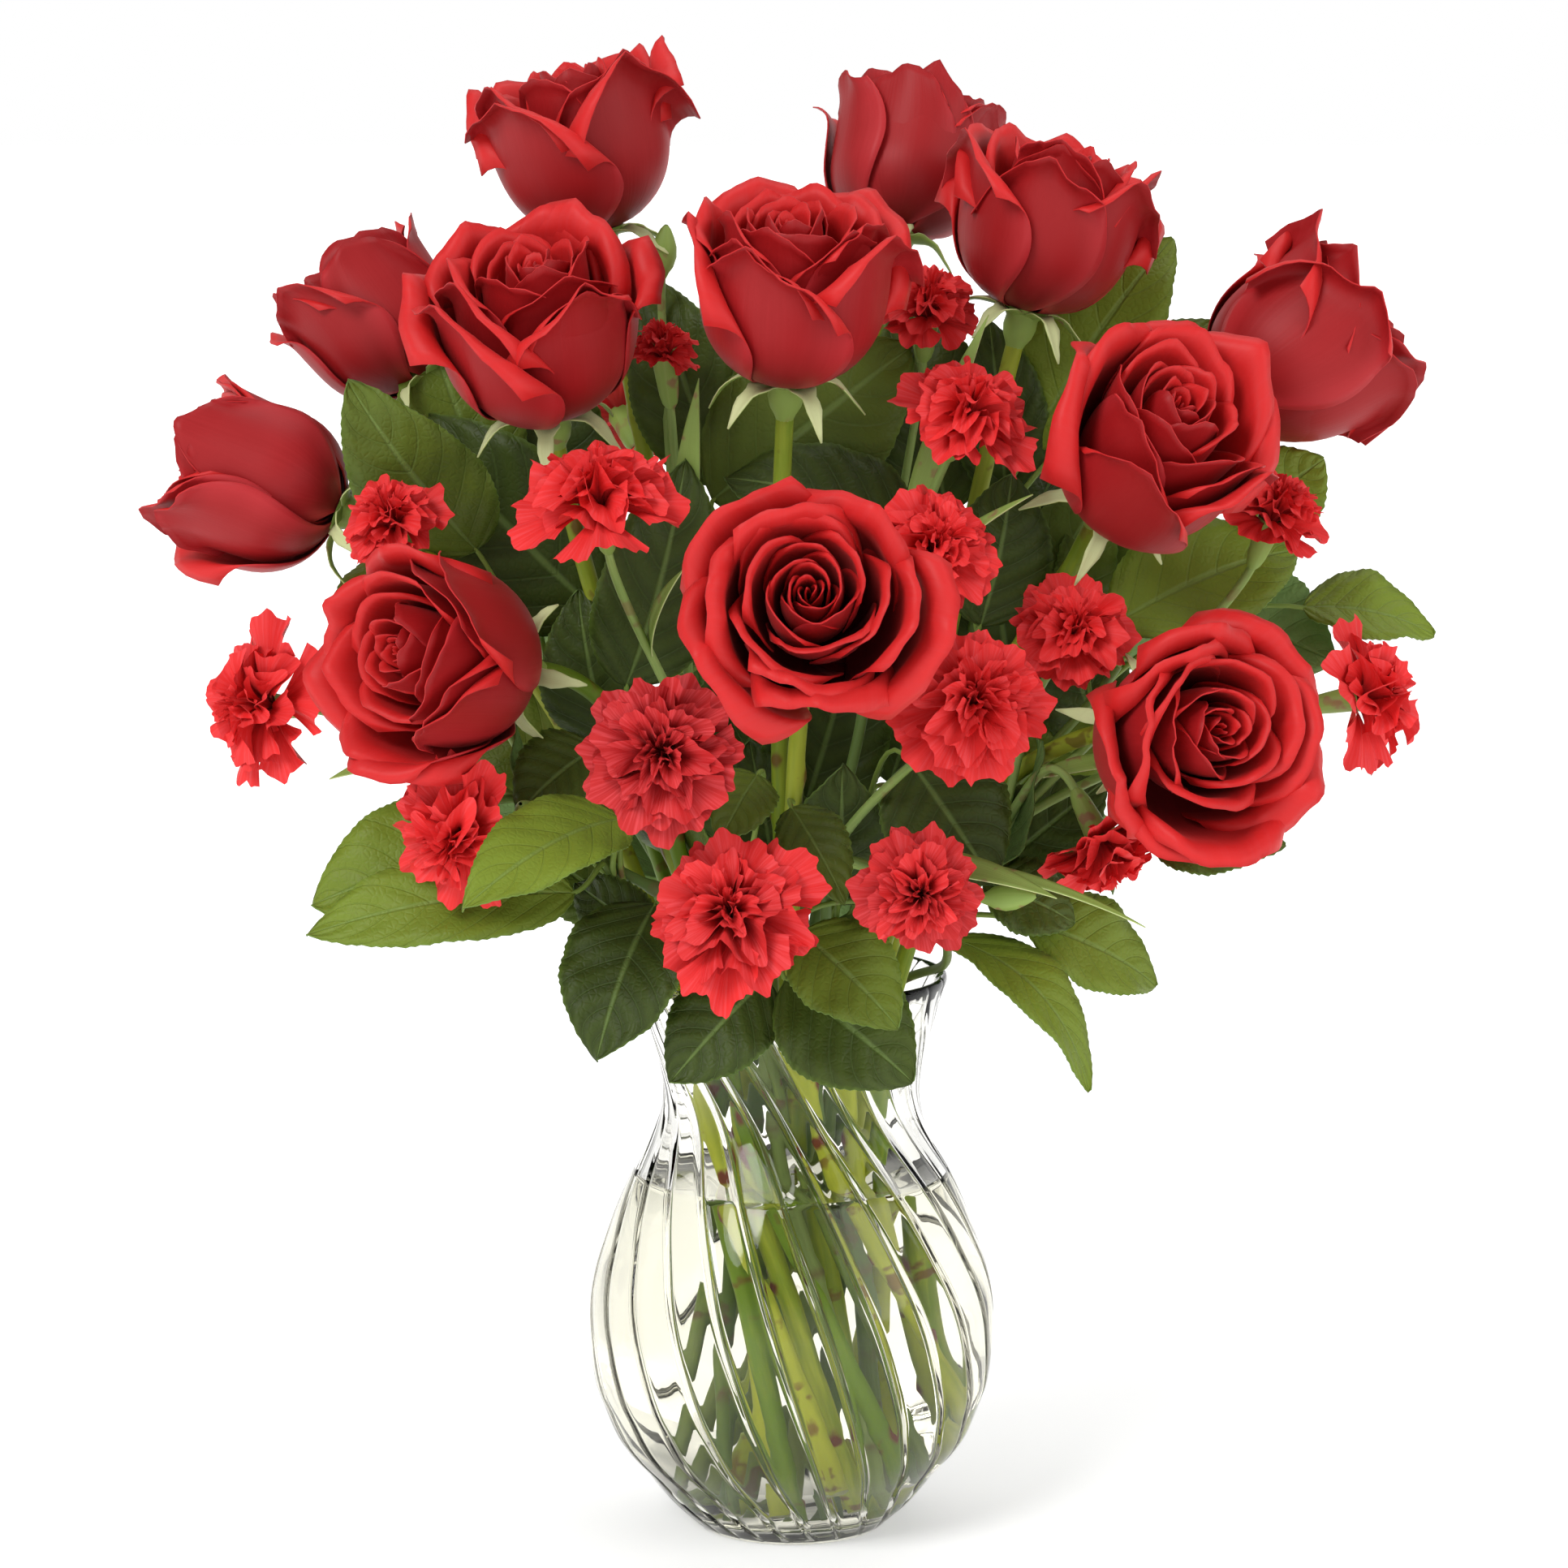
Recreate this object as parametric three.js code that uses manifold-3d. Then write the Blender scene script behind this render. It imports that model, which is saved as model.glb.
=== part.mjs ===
// Red roses, small red carnations and broad-leaved greens in a swirled glass vase of water.
// Millimetres, +Z up, the front towards -Y. The origin is the centre of the vase's flat foot.

import * as THREE from 'three';
import { mergeVertices } from 'three/addons/utils/BufferGeometryUtils.js';
import Module from 'manifold-3d';

const wasm = await Module();
wasm.setup();

// Vase: outer radius at each height, to the middle of its flutes
const vaseProfile = [
  [0, 32], [8, 40.5], [20, 51], [38, 62.5], [60, 67.8], [84, 66.6],
  [108, 58.8], [130, 47.5], [146, 43], [166, 46], [188, 53],
];
const fluteCount = 24;
const fluteDepth = 1.8;
const fluteSwirl = 0.42;
const wall = 2.8;
const floorHeight = 7;
const insideHeights = [20, 38, 72, 108, 146, 166, 188];
const waterLevel = 120;
const gap = 0.4;

// Stems: a bunch that is narrowest in the neck and turns as it goes down
const neckHeight = 150;
const neckSpread = 6.1;
const neckLean = 0.3;
const neckReach = 36;
const neckSlope = 0.6;
const bunchTurn = 80;
const footSpread = 1.3;
const footShift = [10, 0, 0];
const footRoom = 1.6;
const footVariety = 6;
const roseStem = { radius: 3.1, sides: 5, leave: 62, arrive: 60 };
const carnationStem = { radius: 2.2, sides: 5, leave: 62, arrive: 40 };
const greensStem = { radius: 1.9, sides: 5, leave: 62, arrive: 40 };
const branch = { radius: 1.5, sides: 4, leave: 20, arrive: 22 };

// Ways to keep clear: how far a stem may bend, its loose end shift and a leaf move or swing
const clearance = 0.7;
const bendSizes = [10, 20, 30, 42];
const endShifts = [
  [0, 0, 0], [7, 0, 0], [-7, 0, 0], [0, 7, 0], [0, -7, 0],
  [0, 0, 9], [12, 6, 0], [-12, 6, 0], [0, 14, 4],
];
const leafMoves = [0, 4, -4, 8, -8, 12, -12, 18, -18, 24, -24];
const leafSwings = [0, 8, -8, 16, -16, 24, -24, 34, -34];

// Roses: middle of the bloom, the way it faces, size against a 75 mm bloom, turn in degrees
const roses = [
  { at: [-69, 15, 462], facing: [-0.2, -0.1, 0.97], size: 1.0, open: 1.0, turn: 20 },
  { at: [40, 62, 455], facing: [0.2, 0.45, 0.87], size: 0.94, open: 0.7, turn: 50 },
  { at: [84, 5, 436], facing: [0.25, -0.1, 0.96], size: 1.0, open: 1.0, turn: 0 },
  { at: [0, -60, 417], facing: [0.05, -0.35, 0.93], size: 1.05, open: 0.9, turn: 65 },
  { at: [-138, 35, 403], facing: [-0.6, 0.3, 0.74], size: 0.9, open: 0.8, turn: 10 },
  { at: [-80, -50, 404], facing: [-0.1, -0.45, 0.89], size: 1.03, open: 1.0, turn: 30 },
  { at: [168, 10, 395], facing: [0.8, 0.2, 0.55], size: 1.05, open: 0.9, turn: 40 },
  { at: [-174, -5, 354], facing: [-0.92, 0.05, 0.38], size: 0.98, open: 0.7, turn: 15 },
  { at: [115, -60, 367], facing: [0.38, -0.62, 0.55], size: 1.03, open: 1.1, turn: 35 },
  { at: [-110, -74, 300], facing: [-0.68, -0.72, 0.12], size: 1.03, open: 1.1, turn: 5 },
  { at: [6, -135, 323], facing: [0.02, -0.95, 0.28], size: 1.0, open: 1.0, turn: 60 },
  { at: [126, -85, 279], facing: [0.4, -0.88, 0.08], size: 1.03, open: 1.15, turn: 25 },
];
const roseMiddle = 30;

// Carnations: middle of the bloom, the way it faces, radius, turn
const carnations = [
  { at: [45, 2, 411], facing: [0.05, -0.5, 0.86], radius: 17, turn: 10 },
  { at: [-42, -5, 398], facing: [-0.1, -0.3, 0.95], radius: 12, turn: 40 },
  { at: [57, -55, 379], facing: [0.3, -0.6, 0.7], radius: 25, turn: 5 },
  { at: [-60, -85, 355], facing: [-0.1, -0.5, 0.86], radius: 30, turn: 25 },
  { at: [-128, -45, 344], facing: [-0.3, -0.6, 0.7], radius: 18, turn: 15 },
  { at: [45, -75, 338], facing: [0.3, -0.75, 0.55], radius: 22, turn: 35 },
  { at: [157, -30, 346], facing: [0.3, -0.35, 0.87], radius: 19, turn: 50 },
  { at: [-174, -30, 282], facing: [-0.74, -0.62, 0.15], radius: 28, turn: 0 },
  { at: [-40, -110, 277], facing: [-0.1, -0.95, 0.25], radius: 26, turn: 30 },
  { at: [56, -105, 292], facing: [0.2, -0.86, 0.42], radius: 27, turn: 60 },
  { at: [91, -46, 308], facing: [0.2, -0.75, 0.6], radius: 21, turn: 20 },
  { at: [189, -30, 285], facing: [0.9, -0.3, 0.2], radius: 27, turn: 45 },
  { at: [-105, -80, 246], facing: [-0.3, -0.9, -0.25], radius: 27, turn: 10 },
  { at: [101, -58, 238], facing: [0.42, -0.32, -0.82], radius: 22.5, turn: 55 },
  { at: [-19, -110, 227], facing: [-0.1, -0.86, 0.42], radius: 29, turn: 0 },
  { at: [40, -105, 232], facing: [0.1, -0.97, 0.1], radius: 20, turn: 30 },
  { at: [-60, 80, 372], facing: [-0.3, 0.75, 0.6], radius: 24, turn: 15 },
  { at: [88, 85, 345], facing: [0.35, 0.8, 0.5], radius: 24, turn: 5 },
];

// Carnation stems: where the stem forks, its blooms by number, closed buds and narrow leaves
const carnationStems = [
  {
    name: 'a', fork: [-70, -30, 235], blooms: [5, 8, 13],
    buds: [{ at: [-84, -72, 252], facing: [-0.2, -0.8, 0.5] }],
    blades: [{ branch: 1, tip: [-150, -40, 258], width: 8 }],
  },
  {
    name: 'b', fork: [-30, -35, 262], blooms: [9, 4, 2],
    buds: [{ at: [-42, 10, 428], facing: [0.1, -0.2, 0.97] }],
    blades: [{ branch: 2, tip: [-30, -32, 388], width: 9 }, { branch: 1, tip: [-34, -72, 330], width: 7 }],
  },
  {
    name: 'c', fork: [4, -42, 225], blooms: [15, 16, 10],
    buds: [{ at: [70, -70, 225], facing: [0.9, -0.3, 0.1] }],
    blades: [{ branch: 1, tip: [84, -84, 226], width: 11 }, { branch: 1, tip: [112, -84, 219], width: 5 }],
  },
  {
    name: 'd', fork: [24, -14, 280], blooms: [3, 1, 6],
    buds: [],
    blades: [{ branch: 0, tip: [64, -22, 408], width: 9 }, { branch: 2, tip: [78, -60, 352], width: 7 }],
  },
  {
    name: 'e', fork: [66, -33, 237], blooms: [14, 11, 12, 7],
    buds: [],
    blades: [{ branch: 2, tip: [164, -46, 262], width: 7 }, { branch: 0, tip: [122, -30, 262], width: 7 }],
  },
  {
    name: 'f', fork: [6, 40, 268], blooms: [17, 18],
    buds: [{ at: [20, 84, 392], facing: [0, 0.5, 0.85] }],
    blades: [{ branch: 0, tip: [-66, 92, 326], width: 8 }],
  },
];

// Greens: each stem's end, and its leaves from base to tip, with the way their upper face looks
const greens = [
  {
    end: [-84, 0, 290],
    leaves: [
      { base: [-104, 6, 330], tip: [-143, 8, 388], width: 42, up: [-0.3, -1, 0.3] },
      { base: [-62, -16, 306], tip: [-128, -6, 373], width: 56, up: [-0.2, -1, 0.1] },
      { base: [-122, 18, 330], tip: [-152, -2, 301], width: 24, up: [-0.7, -0.6, 0.4] },
      { base: [-96, 40, 330], tip: [-128, 92, 356], width: 44, up: [-0.3, 0.5, 0.8] },
      { base: [-60, -6, 266], tip: [-70, -14, 318], width: 34, up: [-0.2, -1, 0.1] },
    ],
  },
  {
    end: [0, 2, 326],
    leaves: [
      { base: [-26, 4, 346], tip: [40, 14, 396], width: 56, up: [0.1, -1, 0.2] },
      { base: [-54, -30, 288], tip: [-34, -20, 362], width: 42, up: [0.3, -1, 0] },
      { base: [41, -20, 336], tip: [-22, -32, 353], width: 40, up: [0, -0.8, 0.7] },
      { base: [0, 26, 350], tip: [-10, 84, 404], width: 46, up: [0, 0.6, 0.8] },
      { base: [-24, 16, 350], tip: [-46, 26, 418], width: 38, up: [-0.1, -1, 0.2] },
    ],
  },
  {
    end: [66, 12, 330],
    leaves: [
      { base: [80, 24, 362], tip: [128, 30, 431], width: 44, up: [-0.3, -1, 0.3] },
      { base: [113, 20, 382], tip: [142, 25, 404], width: 22, up: [0, -0.7, 0.8] },
      { base: [62, -14, 306], tip: [72, -12, 356], width: 36, up: [0.2, -1, 0] },
      { base: [84, 44, 340], tip: [128, 92, 384], width: 44, up: [0.4, 0.5, 0.8] },
      { base: [76, 34, 298], tip: [104, 50, 350], width: 40, up: [0.1, -1, 0.2] },
    ],
  },
  {
    end: [108, -6, 292],
    leaves: [
      { base: [105, -14, 306], tip: [169, -6, 328], width: 44, up: [-0.2, -0.9, 0.5] },
      { base: [151, 0, 338], tip: [178, 5, 358], width: 32, up: [0.2, -0.9, 0.4] },
      { base: [143, 4, 312], tip: [181, 6, 292], width: 40, up: [0.3, 1, -0.4] },
      { base: [170, 6, 310], tip: [214, 6, 301], width: 32, up: [0.1, -0.6, 0.8] },
    ],
  },
  {
    end: [-64, -34, 236],
    leaves: [
      { base: [-88, -36, 236], tip: [-156, -40, 217], width: 48, up: [-0.1, -0.9, 0.5] },
      { base: [-70, -50, 223], tip: [-156, -60, 211], width: 34, up: [0, -0.8, 0.6] },
      { base: [-54, -66, 250], tip: [-101, -86, 230], width: 34, up: [0.1, -0.6, 0.8] },
      { base: [-63, -48, 270], tip: [-88, -58, 250], width: 30, up: [-0.2, -0.9, 0.4] },
    ],
  },
  {
    end: [-12, -40, 210],
    leaves: [
      { base: [-44, -54, 220], tip: [-62, -76, 173], width: 42, up: [-0.3, -0.9, 0.3] },
      { base: [-8, -56, 196], tip: [-39, -68, 164], width: 34, up: [-0.1, -0.9, 0.3] },
      { base: [-11, -60, 263], tip: [-23, -82, 244], width: 22, up: [0.1, -0.8, 0.6] },
      { base: [-42, -62, 206], tip: [-70, -66, 222], width: 22, up: [-0.2, -0.9, 0.4] },
    ],
  },
  {
    end: [24, -38, 210],
    leaves: [
      { base: [-2, -58, 196], tip: [39, -66, 164], width: 44, up: [0.1, -0.9, 0.3] },
      { base: [3, -62, 212], tip: [34, -80, 184], width: 34, up: [0.1, -0.9, 0.4] },
      { base: [0, -58, 252], tip: [17, -80, 225], width: 22, up: [0.1, -0.9, 0.3] },
      { base: [38, -46, 266], tip: [65, -58, 227], width: 42, up: [0.1, -1, 0.1] },
    ],
  },
  {
    end: [48, -34, 214],
    leaves: [
      { base: [50, -48, 208], tip: [96, -62, 160], width: 26, up: [0.4, -0.6, 0.8], arch: 0.2 },
      { base: [76, -42, 212], tip: [120, -42, 188], width: 34, up: [0.3, -0.8, 0.6] },
      { base: [62, -48, 226], tip: [92, -60, 212], width: 26, up: [0.1, -0.9, 0.5] },
      { base: [118, -40, 236], tip: [160, -46, 238], width: 24, up: [0.2, -0.8, 0.5] },
      { base: [64, -16, 222], tip: [104, -10, 254], width: 34, up: [0, -1, 0.3] },
    ],
  },
  {
    end: [-40, 44, 262],
    leaves: [
      { base: [-58, 52, 250], tip: [-112, 70, 208], width: 46, up: [-0.4, 0.6, 0.7] },
      { base: [-34, 60, 240], tip: [-44, 92, 182], width: 44, up: [-0.2, 0.9, 0.4] },
      { base: [-66, 56, 286], tip: [-128, 84, 288], width: 44, up: [-0.3, 0.7, 0.7] },
      { base: [-20, 66, 286], tip: [-30, 108, 330], width: 44, up: [-0.1, 0.8, 0.6] },
      { base: [-22, 56, 244], tip: [6, 66, 300], width: 46, up: [0.1, -1, 0.2] },
    ],
  },
  {
    end: [50, 44, 260],
    leaves: [
      { base: [62, 52, 246], tip: [112, 66, 204], width: 46, up: [0.4, 0.6, 0.7] },
      { base: [28, 62, 240], tip: [26, 94, 180], width: 44, up: [0.1, 0.9, 0.4] },
      { base: [78, 54, 284], tip: [142, 78, 286], width: 44, up: [0.3, 0.7, 0.7] },
      { base: [34, 66, 286], tip: [44, 106, 336], width: 44, up: [0.1, 0.8, 0.6] },
      { base: [34, 56, 244], tip: [58, 68, 298], width: 44, up: [0, -1, 0.3] },
    ],
  },
];

const petalRed = { color: 0xc4161f, roughness: 0.6, metalness: 0 };
const carnationRed = { color: 0xd9262b, roughness: 0.75, metalness: 0 };
const stemGreen = { color: 0x7c9a3c, roughness: 0.55, metalness: 0 };
const leafGreen = { color: 0x46632d, roughness: 0.45, metalness: 0 };
const glass = { color: 0xf2f5ee, roughness: 0.03, metalness: 0, transparent: true, opacity: 0.35 };
const water = { color: 0xe4e0c8, roughness: 0.02, metalness: 0, transparent: true, opacity: 0.4 };

const degree = Math.PI / 180;
const cornerGrids = [0.04, 0.05, 0.06, 0.03, 0.07, 0.02];
const looseVolume = 1;
const sliver = 0.03;
const sliverPasses = 6;
const upward = new THREE.Vector3(0, 0, 1);
const bouquet = new THREE.Group();
const placed = [];

const vector = (numbers) => new THREE.Vector3(...numbers);
const between = (a, b, part) => a + (b - a) * part;

// An even spread of values from 0 to 1, the same each time
function spread(index, kind) {
  return (index * 0.618034 + kind * 0.414214) % 1;
}

function solid(points, triangles) {
  const vertProperties = new Float32Array(points.flatMap((point) => point.toArray()));
  const triVerts = new Uint32Array(triangles);
  return new wasm.Manifold(new wasm.Mesh({ numProp: 3, vertProperties, triVerts }));
}

// A closed solid through rings of equally many points, each anticlockwise seen from its far side
function loft(rings) {
  const count = rings[0].length;
  const last = (rings.length - 1) * count;
  const triangles = [];
  for (let i = 0; i < last; i += count) {
    for (let j = 0; j < count; j += 1) {
      const k = (j + 1) % count;
      triangles.push(i + j, i + k, i + k + count, i + j, i + k + count, i + j + count);
    }
  }
  for (let j = 1; j < count - 1; j += 1) {
    triangles.push(0, j + 1, j, last, last + j, last + j + 1);
  }
  return solid(rings.flat(), triangles);
}

// A blade of even thickness on both sides of a surface, with the same triangles on both faces
function blade(points, triangles, thickness) {
  const surface = new THREE.BufferGeometry().setFromPoints(points);
  surface.setIndex(triangles);
  surface.computeVertexNormals();
  const offset = (side) => points.map((point, i) => {
    const normal = new THREE.Vector3().fromBufferAttribute(surface.attributes.normal, i);
    return point.clone().addScaledVector(normal, side * thickness / 2);
  });
  const count = points.length;
  const edges = new Map();
  const faces = [...triangles];
  for (let i = 0; i < triangles.length; i += 3) {
    const [a, b, c] = triangles.slice(i, i + 3);
    faces.push(count + a, count + c, count + b);
    for (const [from, to] of [[a, b], [b, c], [c, a]]) {
      if (!edges.delete(`${to} ${from}`)) edges.set(`${from} ${to}`, [from, to]);
    }
  }
  for (const [from, to] of edges.values()) {
    faces.push(to, from, count + from, to, count + from, count + to);
  }
  return solid([...offset(1), ...offset(-1)], faces);
}

// Triangles of a sheet with rows of equally many points
function sheet(rows, columns) {
  const triangles = [];
  for (let i = 0; i < rows - 1; i += 1) {
    for (let j = 0; j < columns - 1; j += 1) {
      const a = i * columns + j;
      triangles.push(a, a + 1, a + columns + 1, a, a + columns + 1, a + columns);
    }
  }
  return triangles;
}

// A round solid tube along a line of points, with a radius at each
function tube(line, radii, sides) {
  let across = new THREE.Vector3(1, 0.37, 0.11);
  const rings = line.map((point, i) => {
    const before = line[Math.max(i - 1, 0)];
    const after = line[Math.min(i + 1, line.length - 1)];
    const along = after.clone().sub(before).normalize();
    across = across.clone().addScaledVector(along, -across.dot(along)).normalize();
    const third = along.clone().cross(across);
    return Array.from({ length: sides }, (_, j) => {
      const angle = j / sides * 2 * Math.PI;
      return point.clone()
        .addScaledVector(across, radii[i] * Math.cos(angle))
        .addScaledVector(third, radii[i] * Math.sin(angle));
    });
  });
  return loft(rings);
}

function geometryOf(body) {
  const { vertProperties, triVerts } = body.getMesh();
  const geometry = new THREE.BufferGeometry();
  geometry.setAttribute('position', new THREE.BufferAttribute(vertProperties, 3));
  geometry.setIndex(new THREE.BufferAttribute(triVerts, 1));
  return geometry;
}

// How far a triangle's last corner lies from its first edge
function thickness([a, b, c]) {
  return new THREE.Triangle(a, b, c).getArea() * 2 / a.distanceTo(b);
}

// Turns the long edge of each triangle that is all but a line, in a closed mesh, so that its
// neighbour takes its corner. Returns the thickness of the thinnest one left
function turnSlivers(positions, triangles) {
  const point = (i) => new THREE.Vector3().fromBufferAttribute(positions, i);
  const owners = new Map();
  const own = (t) => [0, 1, 2].forEach((k) => {
    owners.set(`${triangles[t + k]} ${triangles[t + (k + 1) % 3]}`, t);
  });
  const longestFirst = (t) => {
    const turned = [0, 1, 2].map((k) => [0, 1, 2].map((i) => triangles[t + (k + i) % 3]));
    const length = ([from, to]) => point(from).distanceTo(point(to));
    return turned.sort((one, other) => length(other) - length(one))[0];
  };
  for (let t = 0; t < triangles.length; t += 3) own(t);
  let thinnest;
  for (let pass = 0; pass < sliverPasses; pass += 1) {
    thinnest = Infinity;
    for (let t = 0; t < triangles.length; t += 3) {
      const [from, to, corner] = longestFirst(t);
      const thick = thickness([from, to, corner].map(point));
      thinnest = Math.min(thinnest, thick);
      const other = owners.get(`${to} ${from}`);
      if (thick > sliver || other === undefined) continue;
      const far = [0, 1, 2].map((k) => triangles[other + k]).find((i) => i !== from && i !== to);
      if (far === corner || owners.has(`${far} ${corner}`) || owners.has(`${corner} ${far}`)) continue;
      owners.delete(`${from} ${to}`);
      owners.delete(`${to} ${from}`);
      triangles.set([from, far, corner], t);
      triangles.set([far, to, corner], other);
      own(t);
      own(other);
    }
  }
  const closedOnce = owners.size === triangles.length;
  return closedOnce ? thinnest : 0;
}

// A mesh with its corners on a grid, so that those that all but meet are joined
function onGrid(geometry, step) {
  const moved = geometry.clone();
  const corners = moved.attributes.position;
  corners.array = corners.array.map((number) => Math.round(number / step) * step);
  const joined = mergeVertices(moved, step / 4);
  const triangles = [];
  for (let t = 0; t < joined.index.count; t += 3) {
    const [a, b, c] = joined.index.array.slice(t, t + 3);
    if (a !== b && b !== c && c !== a) triangles.push(a, b, c);
  }
  return { positions: joined.attributes.position, triangles: new Uint32Array(triangles) };
}

// One body from overlapping pieces, on the grid that leaves the thickest slivers and no edge where
// more than two faces meet. Sealed hollows are filled and loose scraps dropped
function fuse(pieces) {
  const union = geometryOf(wasm.Manifold.union(pieces));
  const tries = cornerGrids.map((step) => {
    const { positions, triangles } = onGrid(union, step);
    return { thinnest: turnSlivers(positions, triangles), positions, triangles };
  });
  const { positions, triangles } = tries.sort((one, other) => other.thinnest - one.thinnest)[0];
  const mesh = new wasm.Mesh({ numProp: 3, vertProperties: positions.array, triVerts: triangles });
  const bodies = new wasm.Manifold(mesh).decompose();
  bodies.sort((one, other) => other.volume() - one.volume());
  if (bodies[1]?.volume() > looseVolume) throw new Error('a piece touches nothing that it is fused to');
  return bodies[0];
}

// The way from a bloom's own axes, +Z along its facing, to its place in the bouquet
function seat({ at, facing, turn = 0 }, middle, size = 1) {
  const along = vector(facing).normalize();
  const swing = new THREE.Quaternion().setFromUnitVectors(upward, along);
  const spin = new THREE.Quaternion().setFromAxisAngle(upward, turn * degree);
  const base = vector(at).addScaledVector(along, -middle * size);
  const rotation = swing.multiply(spin);
  const put = (x, y, z) => {
    return new THREE.Vector3(x, y, z).multiplyScalar(size).applyQuaternion(rotation).add(base);
  };
  return { along, base, put };
}

function add(name, body, look) {
  const mesh = new THREE.Mesh(geometryOf(body), new THREE.MeshStandardMaterial(look));
  mesh.name = name;
  bouquet.add(mesh);
  placed.push({ name, body, box: body.boundingBox() });
}

const apart = (a, b) => [0, 1, 2].some((i) => a.min[i] > b.max[i] || b.min[i] > a.max[i]);

function crossed(body, leaveOut = []) {
  const box = body.boundingBox();
  return placed.filter((other) => !leaveOut.includes(other.name)
    && !apart(box, other.box) && !body.intersect(other.body).isEmpty());
}

// Vase: fluted outside, plain inside
function vaseRadius(height) {
  const i = Math.max(vaseProfile.findIndex(([z]) => z >= height), 1);
  const [[z0, r0], [z1, r1]] = vaseProfile.slice(i - 1, i + 1);
  return between(r0, r1, (height - z0) / (z1 - z0));
}

function insideRing(height, radius) {
  const swirl = -fluteSwirl * height * degree;
  return Array.from({ length: fluteCount }, (_, i) => {
    const angle = i / fluteCount * 2 * Math.PI + swirl;
    return new THREE.Vector3(radius * Math.cos(angle), radius * Math.sin(angle), height);
  });
}

function insideRadius(height) {
  return vaseRadius(height) - wall - fluteDepth / 2;
}

function makeVase() {
  const top = vaseProfile.at(-1)[0];
  const outside = vaseProfile.map(([height, radius]) => {
    const depth = fluteDepth * Math.min(1, 0.3 + height / 20, 0.3 + (top - height) / 30);
    const swirl = -fluteSwirl * height * degree;
    return Array.from({ length: fluteCount * 2 }, (_, i) => {
      const angle = i / (fluteCount * 2) * 2 * Math.PI + swirl;
      const r = radius + (i % 2 ? -depth / 2 : depth / 2);
      return new THREE.Vector3(r * Math.cos(angle), r * Math.sin(angle), height);
    });
  });
  const inside = [floorHeight, ...insideHeights].map((height) => insideRing(height, insideRadius(height)));
  inside.push(insideRing(top + 5, insideRadius(top) + 1.6));
  return loft(outside).subtract(loft(inside));
}

// Stems: one place in the neck for each, the outer ones first for the heads that lean out most
const stemCount = roses.length + carnationStems.length + greens.length;
const neckPlaces = Array.from({ length: stemCount }, (_, i) => {
  const radius = neckSpread * Math.sqrt(i + 0.5);
  const angle = i * 137.5 * degree;
  return new THREE.Vector3(radius * Math.cos(angle), radius * Math.sin(angle), neckHeight);
});

// What the water leaves round a stem
const stemHoles = [];

function stemHole(foot, neck, kind) {
  const deeper = foot.clone().addScaledVector(neck.clone().sub(foot).normalize(), -gap);
  return tube([deeper, neck], [kind.radius + gap * 1.3, kind.radius + gap * 1.3], kind.sides);
}

function takeNeckPlace(goal) {
  const wish = vector([goal.x, goal.y, 0]).multiplyScalar(neckLean).clampLength(0, neckReach);
  wish.setZ(neckHeight);
  neckPlaces.sort((a, b) => a.distanceTo(wish) - b.distanceTo(wish));
  return neckPlaces.shift();
}

// A stem's cut end stands near the floor, or near the wall where the vase curves up
function footOf(neck, radius) {
  const foot = neck.clone().setZ(0).multiplyScalar(footSpread);
  foot.applyAxisAngle(upward, bunchTurn * degree).add(vector(footShift));
  let height = floorHeight + footRoom;
  while (insideRadius(height) < foot.length() + radius + footRoom) height += 1;
  return foot.setZ(height + footVariety * spread(neckPlaces.length, 3));
}

// Small sideways bends of a stem, the straight one first
function* bends(from, to) {
  yield new THREE.Vector3();
  const along = to.clone().sub(from).normalize();
  const across = new THREE.Vector3(0, 1, 0).cross(along).normalize();
  for (const size of bendSizes) {
    for (let turn = 0; turn < 360; turn += 45) {
      yield across.clone().applyAxisAngle(along, turn * degree).multiplyScalar(size);
    }
  }
}

// A stem's curve from its start to its end, with a bend that is strongest near the end
function curve(route, kind, bend) {
  const { from, leaving, to, arriving, steps } = route;
  const second = from.clone().addScaledVector(leaving, kind.leave).addScaledVector(bend, 0.5);
  const third = to.clone().addScaledVector(arriving, -kind.arrive).add(bend);
  return new THREE.CubicBezierCurve3(from, second, third, to).getPoints(steps);
}

// The first bend that keeps clear of everything placed so far. A loose end may move aside too
function clearLine(label, route, kind, leaveOut = []) {
  let fewest = { length: Infinity };
  for (const aside of route.loose ? endShifts : endShifts.slice(0, 1)) {
    const to = route.to.clone().add(vector(aside));
    for (const bend of bends(route.from, to)) {
      const line = curve({ ...route, to }, kind, bend);
      const fat = tube(line, line.map(() => kind.radius + clearance), kind.sides);
      const hits = crossed(fat, leaveOut);
      if (!hits.length) return line;
      if (hits.length < fewest.length) fewest = hits;
    }
  }
  throw new Error(`${label} finds no clear way past ${fewest.map((hit) => hit.name)}`);
}

function bunchLine(label, neck, route, kind, leaveOut) {
  const foot = footOf(neck, kind.radius);
  stemHoles.push(stemHole(foot, neck, kind));
  const leaving = neck.clone().sub(foot).multiply(vector([neckSlope, neckSlope, 1])).normalize();
  return [foot, ...clearLine(label, { ...route, from: neck, leaving }, kind, leaveOut)];
}

// Rings round a bloom, where a ring with petals steps out along each petal, so that the next one
// starts under it, and dips at its two corners
function layeredBloom({ put }, rings, pointCount) {
  return loft(rings.map(({ radius, height, petals, step = 0, dip = 0, tip = 0 }) => {
    const points = petals ? pointCount / petals : 1;
    return Array.from({ length: pointCount }, (_, j) => {
      const side = petals ? (j % points) / (points - 1) * 2 - 1 : 0;
      const r = radius + step * side + tip * (1 - Math.abs(side));
      const angle = j / pointCount * 2 * Math.PI;
      return put(r * Math.cos(angle), r * Math.sin(angle), height - dip * side * side);
    });
  }));
}

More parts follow.
